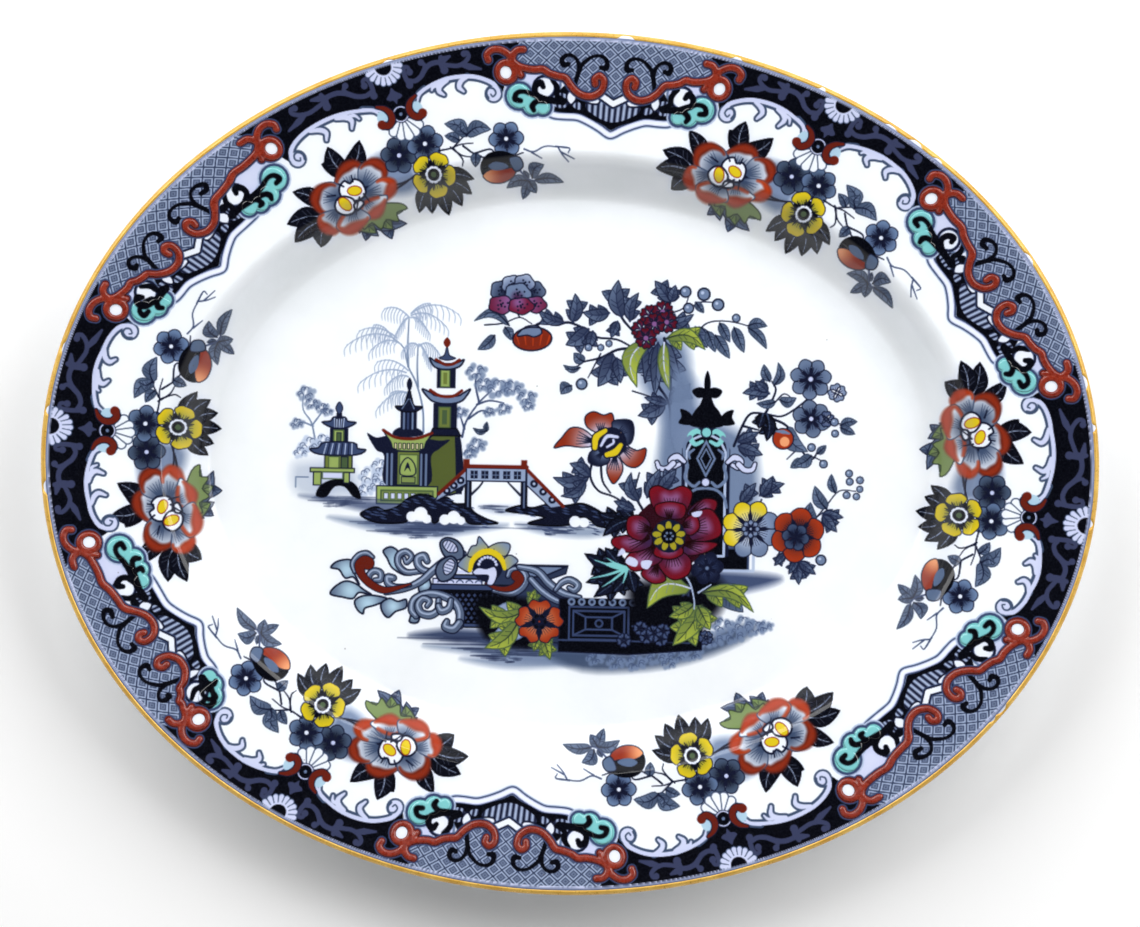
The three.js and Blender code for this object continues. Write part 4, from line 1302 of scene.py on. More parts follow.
def ornament(canvas):
    """The tall dark panel with turquoise curls, a diamond and an onion finial."""
    wash(canvas, flat, [(44, 10), (50, 46), (60, 42), (64, 26), (80, 18), (90, 8), (92, -14), (84, -40),
                        (60, -40),
                        (44, -10)], 3, 0.95)
    rect(canvas, 72, -51, 88, -40, INK, BLUE, 1.0)
    canvas.line(flat([(74, -51), (90.6, -51), (90.6, -41)]), 1.4, MIST)
    block(canvas, [(55, -44), (55, 8), (58, 15), (64, 19), (70, 19), (75, 15), (78, 8), (78, -44)], NAVY)
    block(canvas, [(57, -44), (57, 7), (60, 13), (66.5, 16), (73, 13), (76, 7), (76, -44)], INK, MIST, 1.2)
    for side in (1, -1):
        place = placed(66.5, 0, flip=side < 0)
        stroke(canvas, place, [(2, 12), (5.6, 10.6), (8, 14.4), (5, 17), (2.6, 16)],
               [1.6, 2.2, 2.8, 2.6, 1.6], TURQUOISE)
        stroke(canvas, place, [(8, 14), (10.4, 11), (10.6, 4), (9, 0), (10, -6), (6, -10), (3, -8)],
               [2.0, 1.8, 1.2, 1.6, 1.6, 1.6, 1.4], SLATE)
        stroke(canvas, place, [(6, 8), (8.4, 6), (8, 3.6)], [1.0, 1.6, 1.0], SLATE)
        stroke(canvas, place, [(10.6, 2), (14, 4.4), (17, 2.6), (16, -0.4), (13, 0.6)],
               [1.6, 2.6, 2.6, 2.2, 1.6], PALE,
               edge=NAVY, edge_width=0.6)
        stroke(canvas, place, [(16, 1), (19, -1.6), (22.6, -1.4), (24, 1.4)], [2.4, 2.2, 2.0, 1.4], PALE,
               edge=NAVY,
               edge_width=0.6)
        stroke(canvas, place, [(0, -10.8), (5, -11.6), (9, -15), (10.4, -20)], 1.4, SLATE)
        shape(canvas, place, [(7, 20), (13.6, 20.6), (12.4, 24), (13, 27.6), (9, 26.4), (6.4, 23)], INK)
        shape(canvas, place, [(1, 34), (5, 33.4), (7.4, 36.6), (4.4, 38.4), (0.8, 37.6)], INK)
    shape(canvas, flat, [(58, 20), (66.5, 18.6), (75, 20), (73, 26), (70, 30), (68.4, 34), (66.5, 36),
                         (64.6, 34),
                         (63, 30), (60, 26)], INK)
    shape(canvas, flat, [(66.5, 46.6), (68, 42), (67.6, 36), (65.4, 36), (65, 42)], INK)
    canvas.fill(flat([(66.5, 13), (71.4, 3.6), (66.5, -6), (61.6, 3.6)]), SLATE)
    canvas.fill(flat([(66.5, 10.6), (70.2, 3.6), (66.5, -3.6), (62.8, 3.6)]), INK)
    canvas.line(flat([(66.5, 8.4), (69, 3.6), (66.5, -1.4), (64, 3.6), (66.5, 8.4)]), 0.7, SLATE)
    for y, radius, colour in ((16.4, 2.2, TURQUOISE), (-8, 1.8, PALE)):
        spot(canvas, flat, 66.5, y, radius + 0.7, NAVY)
        spot(canvas, flat, 66.5, y, radius, colour)


def tree_of_flowers(canvas):
    """The bough at the top with its fruit, dark flower and hanging leaves."""
    wash(canvas, flat, [(34, 62), (52, 62), (58, 50), (56, 30), (52, 6), (46, 4), (44, 24), (34, 40)], 3,
         0.9)
    twigs(canvas, flat, [[(-20, 66), (-14, 69), (-8, 67.6), (-2, 69), (6, 66), (12, 62), (22, 61),
                          (30, 57)],
                         [(22, 79), (24, 72), (28, 67), (33, 62)], [(48, 82), (46, 74), (44, 68)],
                         [(30, 57), (22, 56), (14, 52), (6, 50)],
                         [(40, 52), (42, 40), (48, 30), (49, 14), (53, 2)],
                         [(45, 62), (48, 48), (49, 30)]], 1.5)
    twigs(canvas, flat, [[(-43, 67), (-34, 68), (-26, 71), (-20, 68)], [(-26, 71), (-28, 75)],
                         [(0, 69), (-2, 74)],
                         [(14, 54), (10, 46), (8, 42)], [(6, 50), (0, 46), (-3, 46)],
                         [(46, 74), (54, 77), (57, 84)],
                         [(56, 76), (62, 80), (70, 80)], [(60, 64), (66, 70), (76, 71), (88, 68), (92, 63)],
                         [(30, 36), (40, 33), (48, 30)], [(42, 40), (34, 44)]], 0.8)
    leaves(canvas, flat, [
        ("slate", -31, 67, -48, 69, 5, -0.3), ("slate", -33, 66, -30, 60, 4.6, 0.1),
        ("slate", -38, 62, -46, 55, 5, 0.1),
        ("toothed", -4, 69, -17, 75, 7, 0.14), ("toothed", 0, 69, 1, 83, 9, -0.1),
        ("toothed", 18, 74, 5, 74, 9, 0.1),
        ("toothed", 22, 70, 19, 62, 6, 0), ("toothed", 24, 72, 22, 90, 12, 0.1),
        ("toothed", 28, 70, 32, 84, 8, 0.14),
        ("toothed", 8, 66, -3, 58, 11, 0.1), ("toothed", 10, 65, 8, 56, 7, 0),
        ("toothed", 20, 54, 13, 38, 13, 0.08),
        ("toothed", 22, 52, 24, 40, 8, 0), ("slate", 6, 50, 1, 54, 5, 0.1),
        ("slate", 4, 47, -4, 48, 3, 0.2),
        ("slate", 0, 38, -5, 34, 6, -0.2), ("toothed", 48, 80, 40, 90, 9, 0),
        ("toothed", 48, 80, 50, 88, 7, 0),
        ("toothed", 45, 69, 59, 74, 8, -0.12), ("toothed", 60, 68, 66, 58, 9, 0),
        ("slate", 66, 66, 70, 56, 5, 0),
        ("slate", 70, 64, 77, 53, 5.4, 0), ("slate", 72, 70, 77, 61, 4.6, 0),
        ("slate", 79, 68, 84, 56, 5.4, 0),
        ("slate", 86, 68, 95, 58, 4.6, 0.1), ("slate", 86, 69, 95, 69, 5, 0.15),
        ("slate", 60, 80, 64, 75, 3.6, 0),
        ("toothed", 36, 60, 36, 40, 11, 0.1), ("toothed", 46, 60, 54, 40, 11, -0.1),
        ("toothed", 42, 60, 41, 34, 9, 0),
        ("toothed", 48, 32, 58, 40, 9, -0.1), ("toothed", 46, 31, 33, 24, 10, 0.1),
        ("toothed", 47, 30, 36, 33, 6, 0),
        ("green", 38, 62, 32, 38, 9, -0.26), ("green", 45, 60, 48, 37, 5.6, -0.06),
        ("vine", 46, 62, 65, 57, 10, 0.22),
    ])
    berries(canvas, flat, [(55, 85, 3), (56.6, 77, 2.8), (64, 84, 3.4), (71, 79, 3.2), (80, 72.6, 2.2),
                           (8, 57, 2),
                           (14, 57, 1.8), (18, 59, 1.8), (5, 39, 3)])
    for x, y in ((34, 66), (38, 73), (44, 75), (46, 70), (40, 69), (36, 62)):
        petals(canvas, flat, (x, y), 5.4, 6, PLUM, CRIMSON * 0.6, hatch=2, turn=x)
        spot(canvas, flat, x, y, 1.2, MAUVE)
    mauve_flower(canvas)
    fruit = circle(-19.6, 60.6, 9.6, 28, 0.6, 4)
    canvas.fill(fruit, ORANGE * 0.3 + RED * 0.7)
    for k in range(5):
        x = -26 + 3.4 * k
        canvas.line(flat([(x, 57.4 + 0.3 * abs(k - 2)), (x + 0.8 * (k - 2), 63)]), [0.4, 0.9], ORANGE)
    shape(canvas, flat, [(-27, 62), (-23, 66.4), (-17, 67), (-15, 63.6), (-18.6, 61.6), (-22, 62.4)], SLATE,
          edge=NAVY,
          edge_width=0.7)
    canvas.line(np.vstack([fruit, fruit[:1]]), 0.8, NAVY)


def mauve_flower(canvas):
    """The flower at the top left: mottled petals above and plum ones below."""
    root = np.array([-27.5, 79.5])
    for x, y, reach, flat_share, inner, outer in (
        (-35, 84, 5.4, 0.9, NAVY, SLATE), (-19, 84, 5.2, 0.9, NAVY, SLATE), (-30, 87, 5.0, 0.9, BLUE, MIST),
        (-24, 87.6, 5.0, 0.9, BLUE, MIST), (-27, 82.6, 6.4, 0.8, PLUM * 0.7, SLATE),
        (-35, 77, 6.2, 0.72, MAUVE, CRIMSON * 0.45 + PLUM * 0.4),
        (-18.4, 77.4, 5.4, 0.75, MAUVE, CRIMSON * 0.45 + PLUM * 0.4),
        (-25.4, 76.6, 6.2, 0.66, MAUVE, CRIMSON * 0.5 + PLUM * 0.4),
    ):
        path = circle(x, y, reach, 30, flat_share)
        path = path + (path - (x, y)) * 0.07 * np.cos(np.linspace(0, 10 * np.pi, 30))[:, None]
        way = np.array([x, y]) - root
        canvas.fill_ramp(path, (x, y) - 0.6 * way, (x, y) + 0.9 * way, inner, outer)
        canvas.line(np.vstack([path, path[:1]]), 0.6, NAVY)
        for k in range(9):
            angle = 2.4 * k
            spot(canvas, flat, x + 0.6 * reach * np.cos(angle) * (k / 9),
                 y + 0.5 * reach * np.sin(angle) * (k / 9), 0.5,
                 NAVY)


def orange_flower(canvas):
    """The orange-brown flower at the left of the bouquet."""
    twigs(canvas, flat, [[(11, 2), (10, -6), (14, -13), (22, -16), (32, -22)],
                         [(15, 2), (16, -8), (20, -14)], [(36, -22), (32, -14), (34, -4)]], 1.3)
    leaves(canvas, flat, [
        ("toothed", 10, -5, -8, -7, 10, 0.2), ("toothed", 10, -6, 0, 0, 8, -0.1),
        ("toothed", 8, -8, -4, -16, 7, 0.2),
        ("toothed", 34, -18, 30, -4, 8, 0.2), ("toothed", 38, -16, 44, -2, 9, 0),
        ("toothed", 32, -22, 22, -18, 6, 0),
        ("toothed", 44, -12, 52, -2, 8, 0),
    ])
    rust = RED * 0.5 + ORANGE * 0.5
    for outline, start, end in (
        ([(12, 12), (6, 17), (0, 17.4), (-4, 13), (-8, 7.6), (-2, 8.6), (6, 8), (11, 9)], (12, 11),
         (-4, 14)),
        ([(14, 15), (8, 18), (7, 23), (11, 25.6), (16, 24), (20, 25), (21, 20), (18, 16)], (15, 14),
         (14, 25)),
        ([(26, 10), (32, 7), (37, 8), (36, 2), (32, -1.4), (27, 0), (24, 5)], (24, 9), (36, 2)),
        ([(20, 4), (18, -3), (21, -9.4), (24, -7), (26, -2), (24, 3)], (22, 5), (21, -9)),
        ([(20, 20), (25, 22), (30, 21), (31, 15), (29, 10), (24, 11)], (22, 14), (30, 20)),
        ([(10, 6), (9, 1), (14, -1), (19, 1), (19, 5), (15, 7)], (16, 6), (11, 0)),
    ):
        dark = outline[0] in ((20, 20), (10, 6))
        free_petal(canvas, flat, outline, start, end, PALE if not dark else SLATE,
                   rust if not dark else NAVY, hatch=5)
    spot(canvas, flat, 20, 10.6, 7.6, NAVY)
    stroke(canvas, flat, [(12, 8), (12.6, 13), (17, 16.4)], [2.4, 3.2, 2.0], YELLOW, edge=NAVY)
    stroke(canvas, flat, [(18, 4.6), (22, 6), (24.6, 9.4)], [2.4, 3.4, 2.2], YELLOW, edge=NAVY)
    stroke(canvas, flat, [(15, 9), (18, 13.6), (23, 13.4)], [1.2, 1.8, 1.4], PALE, edge=NAVY)
    stroke(canvas, flat, [(18, 8.4), (21, 10.4), (21, 12)], 1.1, PALE)


def great_peony(canvas):
    """The crimson peony in the middle of the bouquet."""
    dusky = NAVY * 0.5 + PLUM * 0.5
    pink = MAUVE * 0.95 + WHITE * 0.1
    rose = CRIMSON * 0.85
    spot(canvas, flat, 49, -34, 18, CRIMSON * 0.3 + INK)
    for outline, start, end in (
        ([(42, -22), (39, -13), (43, -10), (49, -12), (55, -10), (60, -13), (58, -21), (52, -26)],
         (50, -26), (50, -8)),
        ([(60, -20), (66, -16), (72, -17), (71, -22), (64, -25), (58, -24)], (58, -24), (74, -16)),
        ([(58, -30), (62, -23), (69, -21), (74, -27), (74, -34), (66, -37), (60, -36)], (57, -31),
         (76, -28)),
        ([(58, -38), (66, -37), (73, -38), (68, -42), (60, -44), (56, -42)], (55, -38), (74, -40)),
        ([(54, -42), (60, -46), (59, -53), (52, -56), (46, -52), (44, -45)], (50, -39), (53, -58)),
        ([(44, -50), (48, -56), (42, -58), (36, -54), (38, -50)], (44, -48), (40, -59)),
        ([(42, -40), (46, -46), (40, -50), (32, -52), (28, -47), (32, -42)], (44, -38), (28, -51)),
        ([(40, -34), (40, -40), (30, -43), (22, -40), (22, -36), (32, -34)], (41, -35), (20, -40)),
        ([(40, -30), (36, -25), (29, -26), (29, -34), (36, -37)], (42, -32), (27, -29)),
        ([(44, -25), (42, -20), (47, -18), (52, -18), (57, -20), (55, -26)], (49, -28), (49, -16)),
        ([(57, -26), (62, -24), (64, -30), (60, -34), (56, -32)], (54, -30), (65, -27)),
        ([(44, -39), (42, -44), (50, -46), (56, -43), (54, -39)], (49, -36), (49, -47)),
    ):
        free_petal(canvas, flat, outline, start, end, dusky, rose, hatch=6, edge=CRIMSON * 0.2, shine=pink)
    for outline in ([(28, -48), (33, -50), (34, -47), (30, -45)],
                    [(36, -47), (41, -47), (39, -51), (36, -50)],
                    [(60, -23), (65, -22), (64, -24.6), (61, -25)], [(24, -45), (28, -43), (26, -41)]):
        shape(canvas, flat, outline, PALE, closed_steps=3)
    spot(canvas, flat, 49, -34.6, 8.2, NAVY)
    for k in range(9):
        way = np.radians(k * 40 + 12)
        ray = np.array([np.cos(way), 0.85 * np.sin(way)])
        petal = circle(49 + 5.7 * ray[0], -34.6 + 5.7 * ray[1], 2.7, 14, 0.66, np.degrees(way))
        canvas.fill(petal, YELLOW * 0.62 + OLIVE * 0.3)
        canvas.line(np.vstack([petal, petal[:1]]), 0.5, NAVY)
    spot(canvas, flat, 49, -34.6, 3.8, INK)
    for k in range(6):
        spot(canvas, flat, 49 + 1.9 * np.cos(k * 1.05), -34.6 + 1.7 * np.sin(k * 1.05), 0.6, SLATE)


def bouquet_greens(canvas):
    """The leaves that the bouquet stands in."""
    wash(canvas, flat, [(30, -60), (44, -56), (66, -52), (78, -62), (66, -80), (44, -88), (34, -78)], 3,
         1.0, INK)
    leaves(canvas, flat, [
        ("jagged", 30, -26, 14, -24, 9, 0.1), ("jagged", 30, -27, 17, -35, 9, -0.1),
        ("jagged", 31, -26, 24, -20, 8, 0),
        ("jagged", 30, -50, 8, -44, 12, 0.1), ("jagged", 30, -52, 9, -58, 11, 0),
        ("jagged", 30, -53, 13, -65, 11, 0),
        ("jagged", 30, -54, 22, -63, 9, 0), ("jagged", 30, -52, 33, -63, 9, 0),
        ("jagged", 26, -50, 18, -41, 9, 0),
        ("slate", 74, -64, 86, -71, 8, 0.1), ("slate", 72, -62, 88, -60, 8, 0),
        ("toothed", 60, -58, 56, -64, 5, 0),
    ])
    for tip in ((13, -47), (11, -56), (17, -60), (19, -46), (27, -58)):
        stroke(canvas, flat, [(29, -50.6), ((29 + tip[0]) / 2, (tip[1] - 50.6) / 2 - 0.6), tip],
               [1.6, 1.1, 0.4], TURQUOISE)
    shape(canvas, flat, [(18, -49), (23, -48), (29, -50.6), (24, -51.4)], TURQUOISE)
    leaves(canvas, flat, [
        ("green", 60, -60, 39, -70, 12, -0.3), ("vine", 66, -62, 91, -71, 10, 0.2),
        ("vine", 66, -68, 52, -88, 14, 0.06),
        ("vine", 62, -68, 50, -74, 9, 0.1), ("vine", 64, -69, 70, -80, 10, 0),
    ])
    twigs(canvas, flat, [[(56, -52), (60, -58), (62, -66), (62, -70)], [(64, -62), (70, -58)]], 1.0, MIST)
    for x, y in ((36, -80), (42, -82), (39, -84), (47, -81), (46, -85), (28, -86), (68, -84)):
        petals(canvas, flat, (x, y), 3.6, 5, SLATE, BLUE, hatch=1, turn=x * 7)
    flower(canvas, flat, (68, -50), 7.6, 6, BLUE, NAVY, SLATE, 10)


def lower_left_flower(canvas):
    wash(canvas, flat, [(-44, -66), (-24, -66), (-10, -70), (-14, -90), (-40, -86)], 1.5, 1.0, INK)
    leaves(canvas, flat, [
        ("pale", -22, -72, -38, -76, 7, -0.1), ("vine", -20, -72, -43, -71, 10, 0.2),
        ("vine", -18, -70, -16, -62, 6, 0),
        ("pale", -20, -82, -38, -90, 9, -0.12), ("vine", -24, -78, -40, -91, 12, 0.14),
        ("vine", -16, -84, -4, -84, 7, 0), ("vine", -12, -84, -8, -96, 8, 0),
        ("vine", -14, -85, -16, -92, 6, 0),
    ])
    spot(canvas, flat, -13.6, -77.6, 8, NAVY)
    petals(canvas, flat, (-13.6, -77.6), 12, 5, PEACH, ORANGE * 0.75 + RED * 0.25, turn=18, hatch=5,
           squash=0.92)
    flower(canvas, flat, (-13.6, -77.6), 3.6, 6, NAVY, INK, ORANGE)


def right_branch(canvas):
    """The branch of blue flowers on the right, with the buds and berries."""
    twigs(canvas, flat, [[(80, 10), (84, 20), (88, 26), (95, 26), (103, 25), (110, 29), (117, 35)],
                         [(95, 26), (98, 32), (100, 38), (98, 42)],
                         [(98, 24), (106, 20), (112, 10), (118, 4), (122, 10)],
                         [(84, 20), (92, 18)]], 1.3)
    twigs(canvas, flat, [[(100, 32), (104, 36), (108, 34)], [(124, 24), (130, 22), (136, 22)],
                         [(112, 10), (106, 4)],
                         [(116, 6), (120, 5), (124, 3)], [(94, -16), (92, -22)],
                         [(118, -28), (126, -18), (132, -11), (140, -11)],
                         [(118, -26), (124, -22)], [(104, -40), (101, -46)]], 0.8)
    leaves(canvas, flat, [
        ("slate", 97, 42, 94, 50, 4.4, 0.1), ("slate", 99, 40, 101, 51, 4.4, -0.2),
        ("toothed", 97, 36, 84, 36, 8, -0.1),
        ("toothed", 96, 37, 90, 42, 6, 0), ("slate", 100, 32, 91, 31, 4, 0.1),
        ("slate", 102, 33, 110, 34, 5, -0.2),
        ("jagged", 96, 26, 96, 13, 9, 0.1), ("jagged", 94, 26, 92, 19, 7, 0),
        ("toothed", 82, 12, 92, 17, 7, 0),
        ("toothed", 82, 10, 94, 6, 8, 0), ("slate", 106, 20, 116, 8, 8, -0.2),
        ("slate", 114, 4, 108, 0, 4.4, 0),
        ("slate", 118, 6, 110, 1, 6, 0.1), ("slate", 121, 7, 125, 11, 3.4, 0),
        ("slate", 132, 21, 140, 23, 4.4, 0.1),
        ("slate", 132, 20, 139, 17, 4, 0), ("slate", 126, -20, 120, -9, 6, 0.1),
        ("slate", 120, -26, 118, -17, 6, 0.2),
        ("slate", 130, -12, 128, -3, 4, 0.1), ("toothed", 124, -22, 134, -24, 6, 0),
        ("toothed", 124, -23, 131, -31, 7, 0),
        ("toothed", 93, -14, 105, -8, 8, 0.1), ("toothed", 94, -14, 99, -5, 7, 0),
        ("toothed", 84, -18, 91, -8, 7, 0),
        ("toothed", 106, -42, 101, -48, 5, 0), ("toothed", 112, -46, 113, -57, 7, 0),
        ("toothed", 113, -46, 121, -52, 6, 0),
        ("toothed", 112, -45, 108, -52, 5, 0),
    ])
    flower(canvas, flat, (117, 43.4), 9.6, 7, DEEP_SLATE, SLATE * 0.95, PALE, 10)
    flower(canvas, flat, (117.6, 24), 8.8, 6, DEEP_SLATE, SLATE * 0.9, PALE, 40)
    petals(canvas, flat, (130, 37), 4.6, 4, PALE, SLATE, turn=20)
    petals(canvas, flat, (125, 24), 4, 4, MIST, BLUE, turn=0)
    berries(canvas, flat, [(129, 22.6, 2.2), (129.4, 17, 2), (136.6, -2.4, 2), (137, -6.4, 2),
                           (142, -5.6, 2),
                           (135.6, -13, 2), (140.4, -13.6, 1.9), (142, -10, 1.8), (124, 2, 2.2),
                           (118, 10, 2.2),
                           (123.6, -45, 2.8)])
    spot(canvas, flat, 104, 14, 5.4, NAVY)
    spot(canvas, flat, 104, 14, 4.8, ORANGE * 0.75 + RED * 0.25)
    spot(canvas, flat, 104.8, 12.6, 2.4, PEACH)
    stroke(canvas, flat, [(100.6, 17.6), (104, 17.4), (107, 16.6)], [0.8, 2.0, 0.8], SLATE)


def two_coloured_flower(canvas):
    """The flower that is half yellow and half slate, and the orange-red one beside it."""
    spot(canvas, flat, 89, -30, 9, NAVY)
    inner = np.array([WHITE if k in (3, 4, 5, 6) else MIST for k in range(8)])
    outer = np.array([YELLOW if k in (2, 3, 4, 5) else SLATE for k in range(8)])
    petals(canvas, flat, (89, -30.6), 13.6, 8, inner, outer, turn=-20, width=1.08, notch=-0.05, hatch=4)
    flower(canvas, flat, (89, -30.4), 4.2, 8, PALE, SLATE, heart=MIST)
    spot(canvas, flat, 104, -36, 3.2, NAVY)
    spot(canvas, flat, 104, -36, 1.8, SLATE)
    spot(canvas, flat, 112, -33, 8.6, NAVY)
    petals(canvas, flat, (112, -33), 12.6, 6, RED * 0.4 + NAVY * 0.6, ORANGE * 0.8 + RED * 0.2, turn=80,
           hatch=6,
           squash=1.02, width=1.1, notch=-0.05)
    petals(canvas, flat, (111, -34), 6.4, 6, NAVY, DEEP_SLATE, turn=50, width=1.04, notch=-0.05, hatch=2)


def paint_centre(canvas):
    palms(canvas)
    trees(canvas)
    pagoda(canvas)
    temple(canvas)
    rocks_and_water(canvas)
    pavilion(canvas)
    bridge(canvas)
    ground_shadow(canvas)
    planter(canvas)
    tree_of_flowers(canvas)
    ornament(canvas)
    right_branch(canvas)
    inlaid_box(canvas)
    bouquet_greens(canvas)
    orange_flower(canvas)
    great_peony(canvas)
    two_coloured_flower(canvas)
    lower_left_flower(canvas)


SPRAY_SHIFTS = (-1, 0, 9, 0, 0, 9)
SPRAY_DEPTHS = (4.6, 0.8, 0, 4.6, 0.8, 0)


HALO_REACH = 2.4
HALO_TINT = np.array([0.13, 0.11, 0.03])


def flow(canvas):
    """The faint lavender bloom that the blue print leaves in the glaze round itself."""
    halo = 1 - canvas.colour.mean(2)
    reach = int(HALO_REACH / canvas.pixel)
    for axis in (0, 1, 0, 1):
        total = np.cumsum(np.pad(halo, [(reach + 1, reach) if k == axis else (0, 0) for k in (0, 1)]),
                          axis=axis)
        ahead, behind = np.delete(total, range(2 * reach + 1), axis), np.delete(total,
                                                                                range(-2 * reach - 1, 0),
                                                                                axis)
        halo = (ahead - behind) / (2 * reach + 1)
    canvas.colour *= 1 - halo[..., None] * HALO_TINT


def paint_all(canvas, border, along, inward):
    for middle, shift, deeper in zip(DAISY_MIDDLES, SPRAY_SHIFTS, SPRAY_DEPTHS):
        spray(canvas, border, middle, shift, deeper)
    paint_centre(canvas)
    paint_border(canvas, border, along, inward)
    flow(canvas)


# ---- The platter's section, in millimetres: inward from the edge, and height -----------------------
_, GILT_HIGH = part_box("gilt_edge_line")
HALF_LENGTH = round(GILT_HIGH.x / MM, 1)
HALF_WIDTH = round(GILT_HIGH.y / MM, 1)
OVAL_STRETCH = HALF_LENGTH - HALF_WIDTH
OVAL_ROUND = 100.0
FLOOR_TOP = 8.0
WELL_DEPTH, RIM_RISE = 23.0, 14.0
SLOPE_START, SLOPE_RUN = 56.0, 24.0
RIM_CURVE = 1.4
WELL_EDGE = SLOPE_START + SLOPE_RUN
WALL = 5.4
BACK_SHIFT, BACK_DROP = 0.75 * WALL, 0.84 * WALL
LIP_RADIUS = WALL / 2
SKIN = 0.65
LIP_INWARD = SKIN + LIP_RADIUS
BASE_Z = 2.5
FOOT_OUTER, FOOT_INNER = WELL_EDGE - 1, WELL_EDGE + 5


def front_height(inward):
    slope = np.clip((inward - SLOPE_START) / SLOPE_RUN, 0, 1)
    slope = slope * slope * (3 - 2 * slope)
    rim = np.clip(1 - inward / WELL_EDGE, 0, None) ** RIM_CURVE
    return FLOOR_TOP + WELL_DEPTH * (1 - slope) + RIM_RISE * rim


def back_height(inward):
    return front_height(inward + BACK_SHIFT) - BACK_DROP


def oval(inward, angle):
    """Points of the oval at a distance inward from the edge."""
    radius = HALF_WIDTH - inward
    wide = radius * (1 + OVAL_STRETCH / np.maximum(radius, OVAL_ROUND))
    return wide * np.cos(angle), radius * np.sin(angle)


def facing(inward, angle, inward_step, height_step):
    """Unit normals of the surface whose section runs along (inward_step, height_step), from back to front."""
    a, b = HALF_LENGTH - inward, HALF_WIDTH - inward
    sine, cosine = np.sin(angle), np.cos(angle)
    normal = np.stack(
        [b * cosine * height_step, a * sine * height_step, (a * sine**2 + b * cosine**2) * inward_step],
        axis=-1
    )
    return normal / np.linalg.norm(normal, axis=-1, keepdims=True)


def front_normals(x, y, inward):
    step = 0.05
    fall = (front_height(inward + step) - front_height(inward - step)) / (2 * step)
    angle = np.arctan2(y / (HALF_WIDTH - inward), x / (HALF_LENGTH - inward))
    return facing(inward, angle, np.ones_like(fall), fall)


# ---- The front as a mesh that is fine only where the print needs it --------------------------------
LEVELS = 3
COLOUR_STEP = 0.02
CUT_INWARD = 4.2
FINE_PAST_WELL_EDGE = 6


def coarser(cells):
    """Blocks of two by two cells, true where any of the four is."""
    return cells[::2, ::2] | cells[1::2, ::2] | cells[::2, 1::2] | cells[1::2, 1::2]


def finer(cells):
    return np.repeat(np.repeat(cells, 2, axis=0), 2, axis=1)


def spread(cells):
    """Cells that are true themselves, or touch one that is."""
    wide = cells.copy()
    wide[1:] |= cells[:-1]
    wide[:-1] |= cells[1:]
    tall = wide.copy()
    tall[:, 1:] |= wide[:, :-1]
    tall[:, :-1] |= wide[:, 1:]
    return tall


def uneven(colour, level):
    """Which blocks of a level aren't painted evenly enough to be drawn from their four corners."""
    step = 2**level
    corners = colour[::step, ::step]
    rows, cols = corners.shape[0] - 1, corners.shape[1] - 1
    error = np.zeros((rows, cols), bool)
    for j in range(0, step + 1, max(step // 4, 1)):
        for i in range(0, step + 1, max(step // 4, 1)):
            s, t = i / step, j / step
            low = corners[:-1, :-1] * (1 - s) + corners[:-1, 1:] * s
            high = corners[1:, :-1] * (1 - s) + corners[1:, 1:] * s
            real = colour[j : j + rows * step : step, i : i + cols * step : step]
            error |= np.abs(real - low * (1 - t) - high * t).max(2) > COLOUR_STEP
    return error


def front_triangles(canvas, inward):
    """Triangles over the pixels of the canvas, as row * columns + column, anticlockwise from above.

    Squares are split in four, level by level, where the print changes and at the edge. A square that
    meets smaller ones becomes a fan about its middle, so that no corner is left on a straight side.
    """
    inside = inward > CUT_INWARD
    kept = inside[:-1, :-1] & inside[1:, :-1] & inside[:-1, 1:] & inside[1:, 1:]
    some, all_kept, slope = [kept], [kept], inward[:-1, :-1] < WELL_EDGE + FINE_PAST_WELL_EDGE
    for _ in range(LEVELS):
        some.append(coarser(some[-1]))
        all_kept.append(~coarser(~all_kept[-1]))
        slope = coarser(slope)
    split = [None]
    for level in range(1, LEVELS + 1):
        needs = uneven(canvas.colour, level) & some[level]
        needs |= spread(some[level] & ~all_kept[level])
        if level == LEVELS:
            needs |= slope
        if level > 1:
            needs |= coarser(spread(split[-1]))
        split.append(needs & some[level])

    triangles = []
    for level in range(LEVELS + 1):
        step = 2**level
        leaf = all_kept[level].copy()
        if level < LEVELS:
            leaf &= finer(split[level + 1])
        if level:
            leaf &= ~split[level]
        j, i = np.nonzero(leaf)
        low = j * step * canvas.columns + i * step
        right, up = step, step * canvas.columns
        ring = [low, low + right, low + right + up, low + up]
        near = [np.zeros(len(j), bool)] * 4
        if level:
            fine = np.pad(split[level], 1)
            near = [fine[j, i + 1], fine[j + 1, i + 2], fine[j + 2, i + 1], fine[j + 1, i]]
        plain = ~(near[0] | near[1] | near[2] | near[3])
        a, b, c, d = (corner[plain] for corner in ring)
        tilt = (j[plain] + i[plain]) % 2 == 0
        triangles.append(np.column_stack([a, b, np.where(tilt, c, d)]))
        triangles.append(np.column_stack([np.where(tilt, a, b), c, d]))
        if level:
            centre = low + (right + up) // 2
            between = [low + right // 2, low + right + up // 2, low + up + right // 2, low + up // 2]
            for k in range(4):
                start, end = ring[k], ring[(k + 1) % 4]
                triangles.append(np.column_stack([start, end, centre])[~plain & ~near[k]])
                triangles.append(np.column_stack([start, between[k], centre])[near[k]])
                triangles.append(np.column_stack([between[k], end, centre])[near[k]])
    return np.vstack(triangles)


def border_corners(triangles):
    """The corners on the border of a sheet of triangles."""
    edges = np.vstack([triangles[:, [0, 1]], triangles[:, [1, 2]], triangles[:, [2, 0]]]).astype(np.int64)
    size = edges.max() + 1
    free = ~np.isin(edges[:, 0] * size + edges[:, 1], edges[:, 1] * size + edges[:, 0])
    return np.unique(edges[free])


